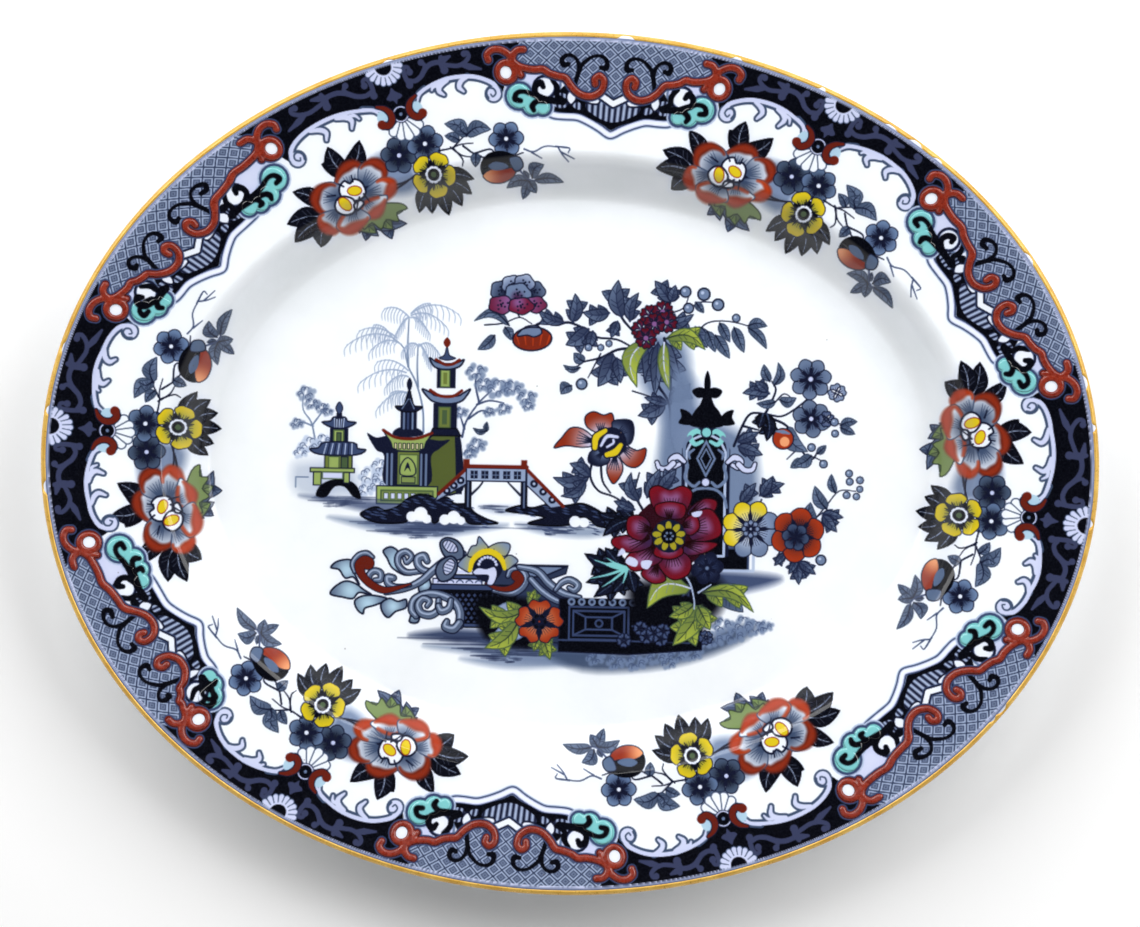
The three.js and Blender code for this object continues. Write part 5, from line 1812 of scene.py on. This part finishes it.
def zipped(first, first_angle, second, second_angle):
    """Triangles between two closed rings, each in order of rising angle; the second lies further out."""
    order = np.argsort(np.concatenate([first_angle, second_angle]), kind="stable")
    of_first = order < len(first)
    at_first = np.cumsum(of_first) - 1
    at_second = np.cumsum(~of_first) - 1
    return np.column_stack([
        np.where(of_first, first[at_first - 1], second[at_second - 1]),
        second[at_second],
        first[at_first],
    ])


# ---- The whole body --------------------------------------------------------------------------------
class Ring:
    """A closed ring of corners at one place on the section."""

    def __init__(self, inward, height, steps, count):
        self.inward, self.height, self.steps = inward, height, steps
        self.angle = (np.arange(count) + 0.5) * 2 * np.pi / count


def arc(centre_inward, centre_height, radius, start, end, count, sides):
    """Rings round an arc of the section: an angle of 0 is up, 90 is outward and 180 is down."""
    rings = []
    for angle in np.radians(np.linspace(start, end, count)):
        inward = centre_inward - radius * np.sin(angle)
        height = centre_height + radius * np.cos(angle)
        rings.append(Ring(inward, height, (np.cos(angle), np.sin(angle)), sides))
    return rings


def slant(before, after):
    way = np.array([after[0] - before[0], after[1] - before[1]], float)
    return way / np.hypot(*way)


FINE_SIDES, BACK_SIDES = 3000, 720
BASE_INWARDS = (180, 140, 110, 96, 90)
SLOPE_INWARDS = (*range(77, 51, -2), 50, 46, 40, 32, 24, 16, 10)
LIP_BACK_INWARD = 6.4
LIP_RINGS, LIP_FROM, LIP_TO = 13, 176, 0


def body_rings():
    """Rings from the top of the lip round it, down the back, over the foot ring and in to the middle."""
    foot_top = back_height(FOOT_OUTER - 0.6)
    foot_section = (
        (FOOT_INNER + 2.4, BASE_Z, (-1.0, -0.2)),
        (FOOT_INNER + 1.4, BASE_Z - 0.7, (-0.7, -0.7)),
        (FOOT_INNER + 0.5, 1.2, (-0.5, -0.85)),
        (FOOT_INNER - 0.15, 0.35, (-0.75, -0.65)),
        (FOOT_INNER - 0.7, 0.0, (-1.0, 0.0)),
        (FOOT_OUTER + 0.7, 0.0, (-1.0, 0.0)),
        (FOOT_OUTER + 0.15, 0.3, (-0.7, 0.7)),
        (FOOT_OUTER, 1.0, (-0.1, 1.0)),
        (FOOT_OUTER - 0.1, foot_top - 1.0, (-0.2, 1.0)),
        (FOOT_OUTER - 0.6, foot_top - 0.1, (-0.8, 0.6)),
    )
    rings = [Ring(inward, BASE_Z, (-1.0, 0.0), BACK_SIDES) for inward in BASE_INWARDS]
    rings += [Ring(inward, height, steps, BACK_SIDES) for inward, height, steps in foot_section]
    for inward in SLOPE_INWARDS:
        rise = back_height(inward - 0.05) - back_height(inward + 0.05)
        rings.append(Ring(inward, back_height(inward), slant((0, 0), (-0.1, rise)), BACK_SIDES))
    lip_height = front_height(LIP_INWARD) - LIP_RADIUS
    rings.append(Ring(LIP_BACK_INWARD, back_height(LIP_BACK_INWARD), slant((0, 0), (-1, 0.4)), FINE_SIDES))
    rings += arc(LIP_INWARD, lip_height, LIP_RADIUS, LIP_FROM, LIP_TO, LIP_RINGS, FINE_SIDES)
    return rings[::-1]


def sampled(canvas, x, y):
    """The canvas's colour between its pixels."""
    column = np.clip(x / canvas.pixel + canvas.columns // 2, 0, canvas.columns - 1.001)
    row = np.clip(y / canvas.pixel + canvas.rows // 2, 0, canvas.rows - 1.001)
    i, j = column.astype(int), row.astype(int)
    s, t = (column - i)[..., None], (row - j)[..., None]
    low = canvas.colour[j, i] * (1 - s) + canvas.colour[j, i + 1] * s
    high = canvas.colour[j + 1, i] * (1 - s) + canvas.colour[j + 1, i + 1] * s
    return low * (1 - t) + high * t


# Middles and half sizes of the front and the back on the OFBake UV sheet
SHEET_FRONT, FRONT_SPAN = (0.5, 0.41), 0.49
SHEET_BACK, BACK_SPAN = (0.5, 0.915), (0.49, 0.08)
SHEET_MARGIN = 1.5


def build_body(canvas, inward, material):
    """One closed mesh: the printed front, the lip, the back and the foot ring."""
    used, grid = np.unique(front_triangles(canvas, inward), return_inverse=True)
    grid = grid.reshape(-1, 3)
    row, col = used // canvas.columns, used % canvas.columns
    x, y, deep = canvas.x[col], canvas.y[row], inward[row, col]
    points = [np.column_stack([x, y, front_height(deep)])]
    normals = [front_normals(x, y, deep)]
    colours = [canvas.colour[row, col]]
    front_map = [np.column_stack([x, y])]
    back_map = [np.zeros((len(x), 2))]
    faces = [grid]

    above = border_corners(grid)
    above_angle = np.arctan2(y[above] / (HALF_WIDTH - CUT_INWARD), x[above] / (HALF_LENGTH - CUT_INWARD))
    above_angle = np.mod(above_angle, 2 * np.pi)
    above, above_angle = above[np.argsort(above_angle)], np.sort(above_angle)

    rings = body_rings()
    section = np.array([(ring.inward, ring.height) for ring in rings])
    travel = np.concatenate([[0], np.cumsum(np.hypot(*np.diff(section, axis=0).T))])
    outermost = int(np.argmin(section[:, 0]))
    back_run = travel[-1] - travel[outermost] + HALF_WIDTH - rings[-1].inward
    count, front_faces = len(x), len(grid)
    for number, ring in enumerate(rings):
        px, py = oval(ring.inward, ring.angle)
        points.append(np.column_stack([px, py, np.full(len(px), ring.height)]))
        normals.append(facing(ring.inward, ring.angle, *ring.steps))
        painted = number <= outermost
        colours.append(sampled(canvas, px, py) if painted else np.tile(WHITE, (len(px), 1)))
        front_map.append(np.column_stack(oval(LIP_INWARD - travel[number], ring.angle)))
        share = 1 - max(travel[number] - travel[outermost], 0) / back_run
        back_map.append(share * np.column_stack([np.cos(ring.angle), np.sin(ring.angle)]))
        index = count + np.arange(len(px))
        count += len(px)
        faces.append(zipped(above, above_angle, index, ring.angle))
        front_faces += len(faces[-1]) if painted else 0
        above, above_angle = index, ring.angle
    points.append([[0, 0, BASE_Z]])
    normals.append([[0, 0, -1]])
    colours.append([WHITE])
    front_map.append([[0, 0]])
    back_map.append([[0, 0]])
    faces.append(np.column_stack([above, np.full(len(above), count), np.roll(above, -1)]))

    faces = np.vstack(faces)
    front_map, back_map = np.vstack(front_map), np.vstack(back_map)
    corner = faces.ravel()
    atlas = back_map[corner] * BACK_SPAN + SHEET_BACK
    front = slice(0, 3 * front_faces)
    atlas[front] = front_map[corner[front]] * (FRONT_SPAN / (HALF_LENGTH + SHEET_MARGIN)) + SHEET_FRONT
    piece = new_mesh("glazed_body", np.vstack(points) * MM, faces, material)
    paint_mesh(piece, np.vstack(colours))
    lay_out(piece, atlas)
    piece.data.normals_split_custom_set_from_vertices(np.vstack(normals))
    return piece


# ---- Making Blender meshes -------------------------------------------------------------------------
def linear(colour):
    """Display values as linear light."""
    colour = np.clip(colour, 0, 1)
    return np.where(colour <= 0.04045, colour / 12.92, ((colour + 0.055) / 1.055) ** 2.4)


def new_mesh(name, points, faces, material):
    mesh = bpy.data.meshes.new(name)
    mesh.vertices.add(len(points))
    mesh.vertices.foreach_set("co", np.ascontiguousarray(points, np.float32).ravel())
    mesh.loops.add(faces.size)
    mesh.loops.foreach_set("vertex_index", np.ascontiguousarray(faces, np.int32).ravel())
    mesh.polygons.add(len(faces))
    mesh.polygons.foreach_set("loop_start", np.arange(0, faces.size, 3, dtype=np.int32))
    mesh.update(calc_edges=True)
    mesh.shade_smooth()
    mesh.materials.append(material)
    piece = bpy.data.objects.new(name, mesh)
    bpy.context.scene.collection.objects.link(piece)
    return piece


def paint_mesh(piece, colours):
    layer = piece.data.color_attributes.new("print", "FLOAT_COLOR", "POINT")
    values = np.ones((len(colours), 4), np.float32)
    values[:, :3] = linear(colours)
    layer.data.foreach_set("color", values.ravel())


def lay_out(piece, atlas):
    layer = piece.data.uv_layers.new(name="OFBake")
    layer.data.foreach_set("uv", np.ascontiguousarray(atlas, np.float32).ravel())


# ---- Gilding and enamel ----------------------------------------------------------------------------
GILT_SIDES, GILT_STRIPS = 1440, 12
GILT_FRONT_ANGLE, GILT_BACK_ANGLE = 13.5, 127.0
GILT_CHIPS, CHIP_DEPTH = 16, 60.0
CHIP_SIZES, CHIP_REACH = (0.004, 0.012), 1.6
GILT_WAVERS = (6, 9)
GILT_UNDERSIDE = 0.01
GILT_TAPER = 22.0
THINNEST, GILT_FULL = 0.03, SKIN - 0.004


def waver(angle, draw):
    """A smooth uneven line round the edge, between 0 and 1."""
    line = np.zeros(len(angle))
    for turns in (7, 16, 31, 53, 88, 140, 233):
        line += np.sin(turns * angle + draw.uniform(0, 2 * np.pi)) / np.sqrt(turns)
    return (line - line.min()) / (line.max() - line.min())


def build_gilding(material):
    """The gilt line round the lip: full in the middle and thin at both of its uneven edges."""
    draw = np.random.default_rng(11)
    angle = np.arange(GILT_SIDES) * 2 * np.pi / GILT_SIDES
    front = GILT_FRONT_ANGLE + GILT_WAVERS[0] * waver(angle, draw)
    back = GILT_BACK_ANGLE - GILT_WAVERS[1] * waver(angle, draw)
    for _ in range(GILT_CHIPS):
        away = np.abs(np.mod(angle - draw.uniform(0, 2 * np.pi) + np.pi, 2 * np.pi) - np.pi)
        half_width = draw.uniform(*CHIP_SIZES)
        front += draw.uniform(0.3, 1) * CHIP_DEPTH * np.clip(CHIP_REACH - away / half_width, 0, 1)
    front = np.minimum(front, back - 2 * GILT_TAPER)
    stops = np.concatenate([np.linspace(-1, 0, 6), np.linspace(0, 1, 5)[1:]])
    centre_height = front_height(LIP_INWARD) - LIP_RADIUS
    rings, across = [], []
    for outer, order in ((True, stops), (False, stops[::-1])):
        for stop in order:
            at = 90 + (90 - front) * stop if stop < 0 else 90 + (back - 90) * stop
            full = np.clip(np.minimum(at - front, back - at) / GILT_TAPER, 0, 1)
            lift = np.full(GILT_SIDES, GILT_UNDERSIDE)
            if outer:
                lift = THINNEST + (GILT_FULL - THINNEST) * full * (2 - full)
            radius = LIP_RADIUS + lift
            inward = LIP_INWARD - radius * np.sin(np.radians(at))
            x, y = oval(inward, angle)
            rings.append(np.column_stack([x, y, centre_height + radius * np.cos(np.radians(at))]))
            across.append((stop + 1) * 0.24 if outer else 0.98 - (stop + 1) * 0.24)
    count = len(rings)
    side, ring = np.meshgrid(np.arange(GILT_SIDES), np.arange(count), indexing="ij")
    side, ring = side.ravel(), ring.ravel()
    next_side, next_ring = (side + 1) % GILT_SIDES, (ring + 1) % count
    a, b = ring * GILT_SIDES + side, next_ring * GILT_SIDES + side
    c, d = next_ring * GILT_SIDES + next_side, ring * GILT_SIDES + next_side
    faces = np.vstack([np.column_stack([a, b, c]), np.column_stack([a, c, d])])
    piece = new_mesh("gilt_line", np.vstack(rings) * MM, faces, material)

    per_strip = GILT_SIDES // GILT_STRIPS
    across = np.array(across + [1.0])
    strip = side // per_strip
    near, far = (side % per_strip) / per_strip, (side % per_strip + 1) / per_strip
    low, high = across[ring], across[ring + 1]

    def spot_on(u, v):
        return np.column_stack([0.01 + 0.98 * u, (strip + 0.08 + 0.84 * v) / GILT_STRIPS])

    corners = [spot_on(near, low), spot_on(near, high), spot_on(far, high), spot_on(far, low)]
    halves = [np.stack([corners[k] for k in order], axis=1).reshape(-1, 2) for order in ((0, 1, 2),
                                                                                         (0, 2, 3))]
    atlas = np.vstack(halves)
    lay_out(piece, atlas)
    return piece


ENAMEL_PITCH = 0.45
ENAMEL_LOW, ENAMEL_RISE = 0.06, 0.74
ENAMEL_EDGE = 1.15
SCROLL_WINDOW, SHELL_WINDOW = (3, 66, 4, 33), (33, 67, 22, 42)
FAR = 99.0


def away_from_lines(points, paths):
    """How far points lie outside the nearest of some lines of (path, radius)."""
    field = np.full(len(points), FAR)
    for path, radius in paths:
        for start, end in zip(path[:-1], path[1:]):
            way = end - start
            along = np.clip(((points - start) @ way) / max(way @ way, 1e-9), 0, 1)
            gap = points - start - along[:, None] * way
            field = np.minimum(field, np.hypot(gap[:, 0], gap[:, 1]) - radius)
    return field


def scroll_field(points):
    """How far points lie outside the red scroll as drawn."""
    half = SCROLL_WIDTH / 2
    spine, first, second = (smooth(path, steps=4) for path in (SCROLL_SPINE, *SCROLL_CURLS))
    field = away_from_lines(points, [(spine, half), (first, half), (second, 0.8 * half)])
    loop = np.hypot(points[:, 0] - SCROLL_LOOP[0], points[:, 1] - SCROLL_LOOP[1]) - SCROLL_LOOP[2]
    hole = SCROLL_HOLE[2] - np.hypot(points[:, 0] - SCROLL_HOLE[0], points[:, 1] - SCROLL_HOLE[1])
    return np.minimum(field, np.maximum(loop, hole))


def disc_field(discs):
    return lambda points: np.min([np.hypot(points[:, 0] - x, points[:, 1] - y) - r for x, y, r in discs],
                                 axis=0)


def build_enamel(name, place, field, window, material, canvas=None):
    """A thin pool of enamel, domed at its edge, where field is below zero in a flat drawing."""
    left, right, top, bottom = window
    grid = np.stack(np.meshgrid(np.arange(left, right, ENAMEL_PITCH), np.arange(top, bottom, ENAMEL_PITCH)),
                    -1)
    rows, cols = grid.shape[:2]
    away = field(grid.reshape(-1, 2)).reshape(rows, cols)
    row_slope, col_slope = np.gradient(away, ENAMEL_PITCH)
    slope = np.stack([col_slope, row_slope], -1)
    slope /= np.maximum(np.hypot(col_slope, row_slope), 1e-6)[..., None]
    flat_points = (grid - np.clip(away, 0, ENAMEL_PITCH * 1.5)[..., None] * slope).reshape(-1, 2)
    inside = away < 0
    cell = inside[:-1, :-1] | inside[1:, :-1] | inside[:-1, 1:] | inside[1:, 1:]
    j, i = np.nonzero(cell)
    low = j * cols + i
    tilt = (i + j) % 2 == 0
    sheet = np.vstack([
        np.column_stack([low, low + 1, np.where(tilt, low + cols + 1, low + cols)]),
        np.column_stack([np.where(tilt, low, low + 1), low + cols + 1, low + cols]),
    ])
    used, sheet = np.unique(sheet, return_inverse=True)
    sheet = sheet.reshape(-1, 3)
    flat_points, away = flat_points[used], away.ravel()[used]
    plan = place(flat_points)
    a, b, c = (plan[sheet[:, k]] for k in range(3))
    turning = (b - a)[:, 0] * (c - a)[:, 1] - (b - a)[:, 1] * (c - a)[:, 0]
    if np.median(turning) < 0:
        sheet = sheet[:, ::-1]

    rim = np.zeros(len(used), bool)
    rim[border_corners(sheet)] = True
    depth = np.clip(-away / ENAMEL_EDGE, 0.02, 1)
    rise = np.where(rim, 0, ENAMEL_RISE * np.sqrt(depth * (2 - depth)))
    under = np.where(rim, np.arange(len(used)), len(used) + np.cumsum(~rim) - 1)
    inward = flat_points[:, 1]
    base = np.column_stack([plan, front_height(inward)])
    outward = front_normals(plan[:, 0], plan[:, 1], inward)
    points = np.vstack([base + outward * (ENAMEL_LOW + rise)[:, None], (base + outward * ENAMEL_LOW)[~rim]])
    faces = np.vstack([sheet, under[sheet[:, ::-1]]])
    piece = new_mesh(name, points * MM, faces, material)

    share = (flat_points - (left, top)) / (right - left, 2 * (bottom - top))
    lower = (share + (0, 0.5))[sheet[:, ::-1].ravel()]
    lay_out(piece, np.vstack([share[sheet.ravel()], lower]) * 0.97 + 0.015)
    if canvas is not None:
        paint_mesh(piece, sampled(canvas, *np.vstack([plan, plan[~rim]]).T))
    return piece


def build_enamels(canvas, border, red, turquoise):
    """The red scroll and the turquoise shell on either side of each lattice panel."""
    for number, (middle, *reaches) in enumerate(PANELS, start=1):
        plain = border.frame(middle)
        drawn = stretched(plain, *DRAWN_OUT, LOOP_AT, *reaches)
        for side, label, reach in ((-1, "left", reaches[0]), (1, "right", reaches[1])):
            scroll = build_enamel(
                f"red_scroll_enamel_{number}_{label}", half(drawn, side), scroll_field, SCROLL_WINDOW, red
            )
            shell = build_enamel(
                f"turquoise_shell_enamel_{number}_{label}", half(plain, side),
                disc_field(shell_discs(reach)),
                SHELL_WINDOW, turquoise, canvas,
            )
            handed_in(scroll, f"red_scroll_{number}_{label}")
            handed_in(shell, f"turquoise_shell_{number}_{label}")


def handed_in(piece, node):
    """Hides the CAD node that a piece stands for, and hangs the piece on the root body."""
    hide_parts(node)
    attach(piece, "root")


# ---- Materials -------------------------------------------------------------------------------------
def material(name, roughness, **sockets):
    """A material with one Principled shader, and a small maker of nodes for it."""
    made = bpy.data.materials.new(name)
    made.use_nodes = True
    shader = made.node_tree.nodes["Principled BSDF"]
    shader.inputs["Roughness"].default_value = roughness
    for socket, value in sockets.items():
        shader.inputs[socket.replace("_", " ")].default_value = value
    return made, shader, Nodes(made.node_tree)


class Nodes:
    def __init__(self, tree):
        self.tree = tree
        self.place = tree.nodes.new("ShaderNodeTexCoord").outputs["Object"]

    def add(self, kind, links=(), **settings):
        node = self.tree.nodes.new("ShaderNode" + kind)
        for key, value in settings.items():
            setattr(node, key, value)
        for socket, value in dict(links).items():
            if isinstance(value, bpy.types.NodeSocket):
                self.tree.links.new(value, node.inputs[socket])
            else:
                node.inputs[socket].default_value = value
        return node

    def noise(self, scale, detail=3.0, rough=0.5, warp=0.0):
        """Grey noise; scale is how many grains there are in a metre."""
        links = {"Vector": self.place, "Scale": scale, "Detail": detail, "Roughness": rough,
                 "Distortion": warp}
        return self.add("TexNoise", links).outputs["Fac"]

    def ramp(self, value, low, high, start=0.0, end=1.0):
        links = {"Value": value, "From Min": low, "From Max": high, "To Min": start, "To Max": end}
        return self.add("MapRange", links).outputs["Result"]

    def maths(self, operation, first, second):
        return self.add("Math", {0: first, 1: second}, operation=operation).outputs[0]

    def mix(self, share, first, second, blend="MIX"):
        links = {0: share, 6: first, 7: second}
        return self.add("Mix", links, data_type="RGBA", blend_type=blend).outputs[2]

    def bump(self, height, strength, distance):
        links = {"Height": height, "Strength": strength, "Distance": distance}
        return self.add("Bump", links).outputs["Normal"]

    def specks(self, scale, size):
        """Scattered round specks: 1 on a speck and 0 elsewhere."""
        cells = self.add("TexVoronoi", {"Vector": self.place, "Scale": scale})
        rare = self.add("SeparateColor", {"Color": cells.outputs["Color"]}).outputs[0]
        near = self.ramp(cells.outputs["Distance"], size * 0.5, size, 1.0, 0.0)
        return self.maths("MULTIPLY", near, self.ramp(rare, 0.9, 0.93))


def glaze_material():
    """Glazed and printed china: the print is in the colour attribute, and the nodes add what firing does."""
    made, shader, nodes = material("china_glaze", 0.12, Coat_Weight=0.10, Coat_Roughness=0.04, IOR=1.4)
    painted = nodes.add("VertexColor", layer_name="print").outputs["Color"]
    brightness = nodes.add("RGBToBW", {"Color": painted}).outputs[0]
    dark = nodes.ramp(brightness, 0.02, 0.55, 1.0, 0.0)
    cloud = nodes.noise(38, 4.0)
    grain = nodes.noise(1400, 2.0)
    warm = nodes.mix(nodes.ramp(cloud, 0.35, 0.65, 0.0, 0.35), painted, (0.86, 0.88, 0.86, 1), "MULTIPLY")
    uneven_ink = nodes.maths("MULTIPLY", dark, nodes.ramp(grain, 0.42, 0.75, 0.0, 0.09))
    inked = nodes.mix(uneven_ink, warm, (0.05, 0.06, 0.10, 1))
    dotted = nodes.mix(nodes.maths("MULTIPLY", nodes.specks(120, 0.07), 0.45), inked, (0.10, 0.08, 0.07, 1))
    nodes.tree.links.new(dotted, shader.inputs["Base Color"])
    fine = nodes.noise(240, 3.0)
    rough = nodes.maths("ADD", nodes.ramp(fine, 0.3, 0.7, 0.07, 0.14), nodes.maths("MULTIPLY", dark, 0.03))
    nodes.tree.links.new(rough, shader.inputs["Roughness"])
    ripple = nodes.maths("ADD", nodes.noise(70, 2.0), nodes.maths("MULTIPLY", nodes.noise(420, 2.0), 0.25))
    nodes.tree.links.new(nodes.bump(ripple, 0.25, 0.0006), shader.inputs["Normal"])
    return made


def gilt_material():
    """Fired ochre-gold: satin, a little uneven, and rubbed thin in places."""
    made, shader, nodes = material("worn_gilding", 0.3, Metallic=0.25, IOR=1.5)
    tone = nodes.noise(90, 4.0)
    gold = nodes.mix(nodes.ramp(tone, 0.35, 0.7), (0.60, 0.33, 0.045, 1), (0.78, 0.50, 0.11, 1))
    worn = nodes.ramp(nodes.noise(330, 4.0, 0.6), 0.62, 0.74, 0.0, 0.6)
    nodes.tree.links.new(nodes.mix(worn, gold, (0.46, 0.24, 0.06, 1)), shader.inputs["Base Color"])
    nodes.tree.links.new(nodes.ramp(nodes.noise(700, 3.0), 0.3, 0.7, 0.24, 0.4), shader.inputs["Roughness"])
    nodes.tree.links.new(nodes.bump(nodes.noise(700, 3.0), 0.2, 0.0002), shader.inputs["Normal"])
    return made


def red_enamel_material():
    """Iron-red enamel, brushed on: streaked, a little thin in places, with a soft sheen."""
    made, shader, nodes = material("iron_red_enamel", 0.3, Coat_Weight=0.15, IOR=1.5)
    streak = nodes.noise(330, 4.0, 0.6, 1.2)
    body = nodes.mix(nodes.ramp(streak, 0.3, 0.7), (0.15, 0.011, 0.005, 1), (0.29, 0.030, 0.012, 1))
    thin = nodes.ramp(nodes.noise(900, 3.0), 0.60, 0.75, 0.0, 0.5)
    nodes.tree.links.new(nodes.mix(thin, body, (0.36, 0.070, 0.034, 1)), shader.inputs["Base Color"])
    nodes.tree.links.new(nodes.ramp(nodes.noise(600, 3.0), 0.3, 0.7, 0.2, 0.4), shader.inputs["Roughness"])
    nodes.tree.links.new(nodes.bump(streak, 0.3, 0.0002), shader.inputs["Normal"])
    return made


def turquoise_enamel_material():
    """Turquoise enamel over the print, which shows through: it pools unevenly and is slightly pitted."""
    made, shader, nodes = material("turquoise_enamel", 0.16, Coat_Weight=0.3, IOR=1.5)
    painted = nodes.add("VertexColor", layer_name="print").outputs["Color"]
    pooled = nodes.ramp(nodes.noise(260, 4.0, 0.6), 0.35, 0.7, 0.0, 0.6)
    tinted = nodes.mix(pooled, painted, (0.84, 0.93, 0.97, 1), "MULTIPLY")
    pits = nodes.maths("MULTIPLY", nodes.specks(420, 0.12), 0.5)
    nodes.tree.links.new(nodes.mix(pits, tinted, (0.10, 0.22, 0.26, 1)), shader.inputs["Base Color"])
    nodes.tree.links.new(nodes.ramp(nodes.noise(500, 3.0), 0.3, 0.7, 0.1, 0.24), shader.inputs["Roughness"])
    nodes.tree.links.new(nodes.bump(nodes.noise(480, 3.0), 0.25, 0.0002), shader.inputs["Normal"])
    return made


# ---- Floor, light and camera -----------------------------------------------------------------------
WALL_LIGHT, CEILING_LIGHT = 0.76, 0.03
CEILING_FROM, CEILING_TO = 0.42, 0.76
LAMP_WATTS = 27
LAMP_PLACES = ((-0.9, 1.1, 1.35), (1.0, 0.8, 1.35))


def studio():
    """A pale floor, two soft lamps, and pale walls under a dark ceiling that keeps the blacks deep."""
    bpy.ops.mesh.primitive_plane_add(size=6)
    floor = bpy.context.object
    floor.name = "floor"
    paper, shader, nodes = material("pale_paper", 0.9)
    shade = nodes.mix(nodes.noise(3.0), (0.94, 0.94, 0.94, 1), (0.96, 0.96, 0.96, 1))
    nodes.tree.links.new(shade, shader.inputs["Base Color"])
    floor.data.materials.append(paper)

    world = bpy.data.worlds.new("soft_room")
    world.use_nodes = True
    room = Nodes(world.node_tree)
    way = room.add("TexCoord").outputs["Generated"]
    height = room.add("SeparateXYZ", {"Vector": way}).outputs["Z"]
    light = room.ramp(height, CEILING_FROM, CEILING_TO, WALL_LIGHT, CEILING_LIGHT)
    world.node_tree.nodes["Background"].inputs["Color"].default_value = (1.0, 1.0, 1.0, 1)
    world.node_tree.links.new(light, world.node_tree.nodes["Background"].inputs["Strength"])
    bpy.context.scene.world = world
    bpy.context.scene.view_settings.view_transform = "Standard"

    for place in LAMP_PLACES:
        lamp = bpy.data.lights.new("soft_box", "AREA")
        lamp.shape = "RECTANGLE"
        lamp.size, lamp.size_y, lamp.energy = 1.6, 1.2, LAMP_WATTS
        lamp_object = bpy.data.objects.new("soft_box", lamp)
        lamp_object.location = place
        lamp_object.rotation_euler = (-Vector(place)).to_track_quat("-Z", "Y").to_euler()
        bpy.context.scene.collection.objects.link(lamp_object)


VIEW_FILL = 0.93
VIEW_TILT = 1.06
VIEW_HEIGHT = 2.2


def aim_camera():
    """Straight down on the platter, which fills most of the width and dips a little to the right."""
    camera = bpy.data.cameras.new("camera")
    camera_object = bpy.data.objects.new("camera", camera)
    camera_object.location = (0, 0, VIEW_HEIGHT)
    camera_object.rotation_euler = (0, 0, np.radians(VIEW_TILT))
    camera.sensor_width = 36
    picture_width = 2 * HALF_LENGTH * MM / VIEW_FILL
    camera.lens = camera.sensor_width * (VIEW_HEIGHT - GILT_HIGH.z) / picture_width
    bpy.context.scene.collection.objects.link(camera_object)
    bpy.context.scene.camera = camera_object


# ---- Everything ------------------------------------------------------------------------------------
PIXEL = 0.4


def main():
    canvas = Canvas(HALF_LENGTH + 1, HALF_WIDTH + 1, PIXEL)
    border = Border(HALF_LENGTH, HALF_WIDTH)
    inward = border.inward_at(canvas.x[None, :], canvas.y[:, None])
    along = border.along_at(canvas.x[None, :], canvas.y[:, None], inward)
    paint_all(canvas, border, along, inward)
    handed_in(build_body(canvas, inward, glaze_material()), "platter_body")
    handed_in(build_gilding(gilt_material()), "gilt_edge_line")
    build_enamels(canvas, border, red_enamel_material(), turquoise_enamel_material())
    studio()
    aim_camera()


main()
